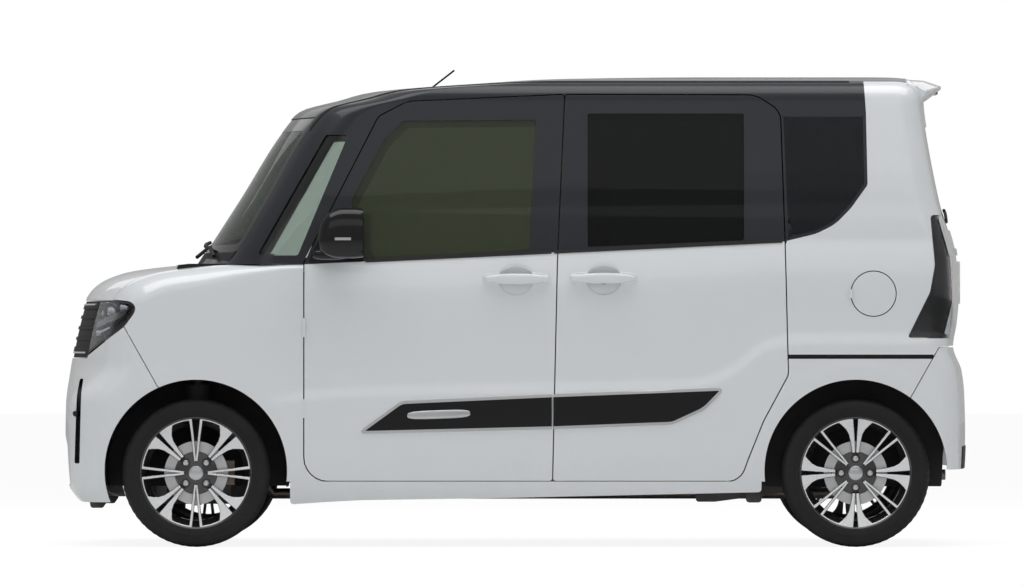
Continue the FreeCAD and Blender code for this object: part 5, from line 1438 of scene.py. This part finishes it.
# ---- Wheels and tyres ----
FACE_Y = 0.0665
RIM = [(0.2080, 0.0720), (0.2080, 0.0650), (0.2010, 0.0610), (0.1975, 0.0400), (0.1810, 0.0200), (0.1810, -0.0300),
       (0.1965, -0.0550), (0.2010, -0.0640), (0.2080, -0.0660), (0.2080, -0.0720), (0.1980, -0.0700),
       (0.1910, -0.0520), (0.1760, -0.0290), (0.1760, 0.0170), (0.1925, 0.0420), (0.1990, 0.0640), (0.2040, 0.0700)]
HUB = [(0.0002, 0.058), (0.0300, 0.058), (0.0400, 0.0545), (0.0640, 0.0535), (0.0760, 0.0500), (0.0800, 0.0420),
       (0.0700, 0.0400), (0.0002, 0.0400)]
CAP = [(0.0002, 0.0650), (0.0120, 0.0645), (0.0210, 0.0625), (0.0262, 0.0590), (0.0268, 0.0550)]
NUT = [(0.0002, 0.0660), (0.0060, 0.0655), (0.0095, 0.0630), (0.0108, 0.0590), (0.0112, 0.0530)]
WELL = [(0.0125, 0.0532), (0.0140, 0.0560), (0.0165, 0.0560), (0.0180, 0.0520)]
DISC = [(0.0620, 0.0385), (0.1180, 0.0385), (0.1180, 0.0325), (0.0620, 0.0325)]
# The outer half of the tyre's section, from the middle of the tread to the bead.
TYRE = [(0.2770, 0.0), (0.2770, 0.0105), (0.2705, 0.0115), (0.2705, 0.0180), (0.2768, 0.0190), (0.2760, 0.0345),
        (0.2695, 0.0355), (0.2695, 0.0415), (0.2750, 0.0425), (0.2730, 0.0580), (0.2680, 0.0700), (0.2620, 0.0760),
        (0.2610, 0.0772), (0.2560, 0.0797), (0.2440, 0.0820), (0.2330, 0.0821), (0.2322, 0.0829), (0.2300, 0.0829),
        (0.2290, 0.0817), (0.2180, 0.0796), (0.2120, 0.0780), (0.2085, 0.0735), (0.2060, 0.0660), (0.2025, 0.0610)]


def polar(radius, degrees):
    """Across and up from the wheel's centre, where 0 degrees is straight up."""
    turn = math.radians(degrees)
    return radius * math.sin(turn), radius * math.cos(turn)


def spoke_outline(grow=0.0):
    """One half of a spoke group: a straight bar beside the pair's middle line, the rim arc and a flared bar.
    Angles are measured from the direction of a wheel bolt."""
    rows = [(0.0765, 2.0 - grow * 700), (0.110, 2.0 - grow * 500), (0.150, 2.3 - grow * 380),
            (0.2052, 2.8 - grow * 260)]
    rows += [(0.2052, angle) for angle in (8, 13, 18, 23, 28, 33, 37)]
    rows += [(0.2052, 40.6 + grow * 260)]
    rows += [(0.140, 41.4 + grow * 380), (0.080, 43.0 + grow * 600), (0.046, 45.0)]
    rows += [(0.043, 38.0), (0.080, 37.6 - grow * 600), (0.140, 38.2 - grow * 380),
             (0.1975 - grow, 38.0 - grow * 260)]
    rows += [(0.1975 - grow, angle) for angle in (33, 28, 23, 18.5 + grow * 200)]
    rows += [(0.185, 16.0 + grow * 250), (0.165, 12.0 + grow * 300), (0.145, 9.6 + grow * 380),
             (0.110, 8.6 + grow * 500), (0.0765, 8.8 + grow * 700)]
    return [polar(*row) for row in rows]


def wheel(name, centre, phase, bodies, nodes):
    """The left wheel and its mirror image. phase turns the spokes, in degrees."""
    def at(a, b, y):
        turn = math.radians(phase)
        return Vector((centre.x + a * math.cos(turn) - b * math.sin(turn), y,
                       centre.z + a * math.sin(turn) + b * math.cos(turn)))

    def spoke(group, flip, grow, y, depth):
        """One half of a spoke group, pushed inwards from y. Its edges are still sharp."""
        quarter = group * math.pi / 2

        def place(a, b):
            a = a * flip
            return at(a * math.cos(quarter) - b * math.sin(quarter),
                      a * math.sin(quarter) + b * math.cos(quarter), y)
        bm = bmesh.new()
        rounded_face(bm, [(a, b, 0) for a, b in spoke_outline(grow)], place)
        pushed(bm, bm.faces[:], Vector((0, -depth, 0)))
        return bm

    outer = centre.y + FACE_Y
    bright, black = [], []
    for group in range(4):
        for flip in (1, -1):
            bm = spoke(group, flip, 0.0, outer, 0.004)
            bevelled(bm, 0.8, 0.0006, 1)
            bright.append(added("bright", bm))
            black.append(added("black", spoke(group, flip, 0.0016, outer - 0.002, 0.018)))
    black.append(spun("rim", RIM, centre, 128))
    black.append(spun("hub", HUB, centre, 64, closed=False))
    bolts = [spun("cap", CAP, centre, 64, closed=False)]
    for group in range(4):
        spot = at(*polar(0.0535, group * 90), centre.y)
        bolts.append(spun("nut", NUT, spot, 24, closed=False))
        black.append(spun("well", WELL, spot, 32, closed=False))
    brake = spun("disc", DISC, centre)
    left_and_right(joined("w", bright), name + "_spokes", "wheel_alloy", bodies, nodes)
    left_and_right(joined("w", black), name + "_rim", "wheel_black", bodies)
    left_and_right(joined("w", bolts), name + "_bolts", "satin_silver", bodies)
    left_and_right(brake, name + "_disc", "steel", bodies)


def tyre(name, centre, bodies, nodes):
    """The left tyre and its mirror image, with notches across the shoulders and the ribs."""
    half = [(min(radius, TYRE_R), y) for radius, y in TYRE]
    rows = half + [(0.2090, 0.0500), (0.2090, -0.0500)] + [(radius, -y) for radius, y in half[:0:-1]]

    def notched(p):
        away = Vector((p.x - centre.x, 0, p.z - centre.z))
        radius = away.length
        step = round(math.degrees(math.atan2(away.z, away.x)) / 2)
        if radius > 0.263 and abs(p.y - centre.y) > 0.045 and step % 3 == 0:
            return Vector((p.x, p.y, p.z)) - away.normalized() * 0.0035
        if radius > 0.2745 and abs(p.y - centre.y) > 0.019 and step % 3 == 1:
            return Vector((p.x, p.y, p.z)) - away.normalized() * 0.0022
        return p
    left_and_right(reshaped(spun(name, rows, centre, 180), notched), name, "tyre_rubber", bodies, nodes)


for end, phase in (("front", 45), ("rear", 0)):
    bodies = ["wheel_%s_%s" % (end, side) for side in ("left", "right")]
    middle = PINS["wheel_%s_left_spin" % end]
    wheel("wheel_" + end, middle, phase, bodies, bodies)
    tyre("tyre_" + end + "_tread", middle, bodies, ["tyre_%s_%s" % (end, side) for side in ("left", "right")])

# ---- Cabin ----
SEAT_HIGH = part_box("front_seats")[1]
BENCH_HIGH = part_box("rear_seat")[1]
SEAT_Y = (SEAT_HIGH.y + 0.095) / 2
SEAT_X = SEAT_HIGH.x - 0.500
BENCH_X = BENCH_HIGH.x - 0.500
BENCH_Y = BENCH_HIGH.y / 2
CLOTH_FRAMES = 20


def plumped(piece, cap=0.010):
    """Fills a cushion by simulation, keeps every point within the cap, and smooths it."""
    net = piece.modifiers.new("net", "REMESH")
    net.mode = "VOXEL"
    net.voxel_size = 0.007
    settle(piece)
    rest = np.empty(len(piece.data.vertices) * 3)
    piece.data.vertices.foreach_get("co", rest)
    filling = piece.modifiers.new("filling", "CLOTH")
    filling.settings.use_pressure = True
    filling.settings.uniform_pressure_force = 4
    filling.settings.effector_weights.gravity = 0
    filling.point_cache.frame_end = CLOTH_FRAMES
    for number in range(1, CLOTH_FRAMES + 1):
        bpy.context.scene.frame_set(number)
    shape = piece.evaluated_get(bpy.context.evaluated_depsgraph_get()).to_mesh()
    full = np.empty_like(rest)
    shape.vertices.foreach_get("co", full)
    piece.modifiers.clear()
    move = (full - rest).reshape(-1, 3)
    length = np.linalg.norm(move, axis=1, keepdims=True)
    move *= np.minimum(1, cap / np.maximum(length, 1e-9))
    piece.data.vertices.foreach_set("co", (rest.reshape(-1, 3) + move).ravel())
    bpy.context.scene.frame_set(1)
    return piece


def refined(piece):
    """Rounds a mesh off once more."""
    finer = piece.modifiers.new("finer", "SUBSURF")
    finer.levels = 1
    finer.render_levels = 1


def sewn(piece, lines, depth=0.006, width=0.006):
    """Presses seams in along lines of equal Y."""
    def pressed(p):
        dip = sum(math.exp(-((p.y - line) / width) ** 2) for line in lines)
        away = Vector((p.x - middle.x, 0, p.z - middle.z))
        return p - away.normalized() * depth * dip if away.length > 1e-6 else p
    corners = [Vector(corner) for corner in piece.bound_box]
    middle = sum(corners, Vector()) / 8
    reshaped(piece, pressed)


def leaning(piece, pivot, degrees):
    """Turns a piece about a line across the car."""
    turn = Matrix.Rotation(math.radians(degrees), 3, "Y")
    return reshaped(piece, lambda p: turn @ (p - pivot) + pivot)


def seat(name, x, y, half, top, cushion_top=0.690):
    """One seat's cushion and back, with their names. x is where the two meet."""
    cushion = pebble("c", (x + 0.252, y, cushion_top - 0.066), (0.232, half - 0.012, 0.050), 5, 21)
    cushion = reshaped(cushion, lambda p: Vector((p.x, p.y, p.z - 0.030 * (1 - (p.x - x) / 0.5)
                                                  + 0.012 * (abs(p.y - y) / half) ** 6)))
    cushions = [(plumped(cushion), name + "_cushion")]
    height = (top - cushion_top) / 2 + 0.045
    pivot = Vector((x - 0.045, y, cushion_top - 0.075))
    back = pebble("b", (pivot.x, y, pivot.z + height), (0.044, half - 0.014, height - 0.012), 5, 21)
    back = reshaped(back, lambda p: Vector((p.x + 0.010 * (abs(p.y - y) / half) ** 6, p.y, p.z)))
    cushions.append((plumped(leaning(back, pivot, -15.5)), name + "_back"))
    return cushions


def padded_pair(piece, name, replaces=()):
    """A filled left piece and its mirror image. Returns the mirror image."""
    twin = mirrored(piece, name + "_right")
    piece.name = name + "_left"
    fitted(piece, "seat_fabric", "body", replaces, 70)
    return fitted(twin, "seat_fabric", "body", (), 70)


front_parts = seat("front_seats", SEAT_X, SEAT_Y, 0.235, 1.230)
rear_parts = seat("rear_seat", BENCH_X, BENCH_Y + 0.001, BENCH_Y, 1.200)
for parts, node, y, spacing in ((front_parts, "front_seats", SEAT_Y, 0.14),
                                (rear_parts, "rear_seat", BENCH_Y, 0.19)):
    for piece, name in parts:
        sewn(piece, [y - spacing, y + spacing])
        refined(piece)
        refined(padded_pair(piece, name, (node,) if name.endswith("cushion") else ()))
REST_X = SEAT_X - 0.195
rest = plumped(pebble("rest", (REST_X, SEAT_Y, SEAT_HIGH.z - 0.098), (0.040, 0.120, 0.080), 3.4, 15), 0.006)
poles = [rod("pole", [(REST_X, y, SEAT_HIGH.z - 0.290), (REST_X, y, SEAT_HIGH.z - 0.150)], 0.0055)
         for y in (SEAT_Y - 0.05, SEAT_Y + 0.05)]
padded_pair(rest, "headrest")
pair_of(joined("poles", poles), "headrest_poles", "steel")
frames = [pebble("base", (SEAT_X + 0.235, SEAT_Y, 0.400), (0.180, 0.190, 0.158), 9, 7),
          pebble("base", (BENCH_X + 0.235, BENCH_Y, 0.405), (0.150, BENCH_Y - 0.040, 0.160), 9, 7)]
pair_of(joined("frames", frames), "seat_bases", "black_plastic")

# ---- Linings ----
lining = panel("lining", "tall", (SPLIT - 0.06, 0.5, 0.2), (HINGE_X, 1, 1.2),
               [side_tool(FRONT_DOOR, grow=-0.010)], [side_tool(BELT_LINE, grow=-0.001)],
               inset=0.0255, thick=0.036)
left_and_right(lining, "front_door_lining", "door_trim", DOORS)
lining = panel("lining", "tall", (SLIDE_REAR - 0.02, 0.5, 0.2), (SPLIT + 0.02, 1, 1.2),
               [side_tool(SLIDING_DOOR, grow=-0.010)],
               [side_tool(BELT_LINE, grow=-0.001), barrel(REAR, ARCH_Z, ARCH_R + 0.066, 0.2, 1.2)],
               inset=0.0255, thick=0.036)
pair_of(lining, "sliding_door_linings", "door_trim")
POSTS = [(SPLIT + 0.045, 0.244, 0), (SPLIT - 0.045, 0.244, 0), (SPLIT - 0.085, 1.690, 0),
         (SPLIT + 0.005, 1.690, 0)]
posts = panel("post", "tall", (SPLIT - 0.2, 0.4, 0.2), (SPLIT + 0.2, 1, 1.75), [side_tool(POSTS)],
              inset=0.079, thick=0.030)
pair_of(posts, "centre_posts", "headliner")
middle_piece(panel("liner", "tall", (REAR - 0.15, -0.1, 1.5), (FRONT, 0.6, 1.77),
                   [block(GATE_X + 0.03, FRONT - 0.49, -0.1, ROOF_HALF - 0.01, 1.55, 2)],
                   inset=0.032, thick=0.006), "roof_lining", "headliner")
middle_piece(panel("lining", "tall", (TAIL, -0.1, 0.7), (GATE_X, 0.6, 1.2),
                   [block(TAIL - 0.1, GATE_X - 0.010, -0.1, TAIL_HALF - 0.022, 0.768, 1.150)],
                   inset=0.0255, thick=0.014), "tailgate_lining", "dash_plastic", "tailgate")


# ---- The CAD nodes that show ----
FINISHES = {
    "black_plastic": ("arch_liners", "cowl_panel", "fuel_tank"),
    "cast_iron": ("knuckle_left", "knuckle_right"),
    "chassis_black": ("front_cradle", "front_struts", "rear_axle"),
    "dash_plastic": ("dashboard", "steering_wheel"),
    "engine_alloy": ("engine_block",),
    "exhaust_steel": ("exhaust",),
    "floor_paint": ("floor_pan",),
    "white_paint": ("hinge_pins",),
}
for finish, names in FINISHES.items():
    for name in names:
        node = frame["nodes"][name]
        node.data.materials.clear()
        node.data.materials.append(MATERIALS[finish])

# ---- Floor, light and camera ----
def seen_rays(tree):
    """1 for what the camera sees, straight or through glass, and 0 for everything else."""
    path = tree.nodes.new("ShaderNodeLightPath")
    return math_node(tree, "MAXIMUM", path.outputs["Is Camera Ray"], path.outputs["Is Transmission Ray"])


def studio():
    """A pale floor, soft lamps and the camera on the car's left. The world looks white and lights less."""
    scene = bpy.context.scene
    scene.view_settings.view_transform = "Standard"
    world = bpy.data.worlds.new("studio")
    scene.world = world
    world.use_nodes = True
    tree = world.node_tree
    light = tree.nodes["Background"]
    seen = seen_rays(tree)
    strength = math_node(tree, "ADD", 0.39, math_node(tree, "MULTIPLY", seen, 0.61))
    light.inputs["Color"].default_value = (1, 1, 1, 1)
    tree.links.new(strength, light.inputs["Strength"])

    bm = bmesh.new()
    bmesh.ops.create_grid(bm, x_segments=2, y_segments=2, size=60)
    floor = added("studio_floor", bm)
    paper = bpy.data.materials.new("floor_paper")
    paper.use_nodes = True
    tree = paper.node_tree
    shader = tree.nodes["Principled BSDF"]
    shader.inputs["Base Color"].default_value = (0.86, 0.86, 0.86, 1)
    shader.inputs["Roughness"].default_value = 0.9
    shader.inputs["Specular IOR Level"].default_value = 0.0
    glow = tree.nodes.new("ShaderNodeEmission")
    glow.inputs["Strength"].default_value = 1.12
    mix = tree.nodes.new("ShaderNodeMixShader")
    path = tree.nodes.new("ShaderNodeLightPath")
    tree.links.new(math_node(tree, "MULTIPLY", path.outputs["Is Camera Ray"], 0.80), mix.inputs[0])
    tree.links.new(shader.outputs[0], mix.inputs[1])
    tree.links.new(glow.outputs[0], mix.inputs[2])
    tree.links.new(mix.outputs[0], tree.nodes["Material Output"].inputs["Surface"])
    floor.data.materials.append(paper)

    for name, place, target, size, power in (
            ("overhead", (0.0, 1.2, 6.0), (0, 0.2, 0.8), (9, 4), 250),
            ("side", (1.0, 9.0, 4.0), (0, 0, 0.8), (12, 3), 55),
            ("far_side", (0.0, -8.0, 5.0), (0, 0, 0.8), (10, 3), 55)):
        lamp = bpy.data.lights.new(name, "AREA")
        lamp.shape = "RECTANGLE"
        lamp.size, lamp.size_y = size
        lamp.energy = power
        item = bpy.data.objects.new(name, lamp)
        item.location = place
        item.rotation_euler = (Vector(target) - Vector(place)).to_track_quat("-Z", "Y").to_euler()
        bpy.context.collection.objects.link(item)

    camera = bpy.data.cameras.new("camera")
    camera.lens = 354.3
    camera.clip_end = 200
    camera.shift_x = -0.032
    camera.shift_y = 0.0373
    item = bpy.data.objects.new("camera", camera)
    item.location = (-0.108, 38.1, 0.8)
    item.rotation_euler = (math.pi / 2, 0, math.pi)
    bpy.context.collection.objects.link(item)
    scene.camera = item


studio()
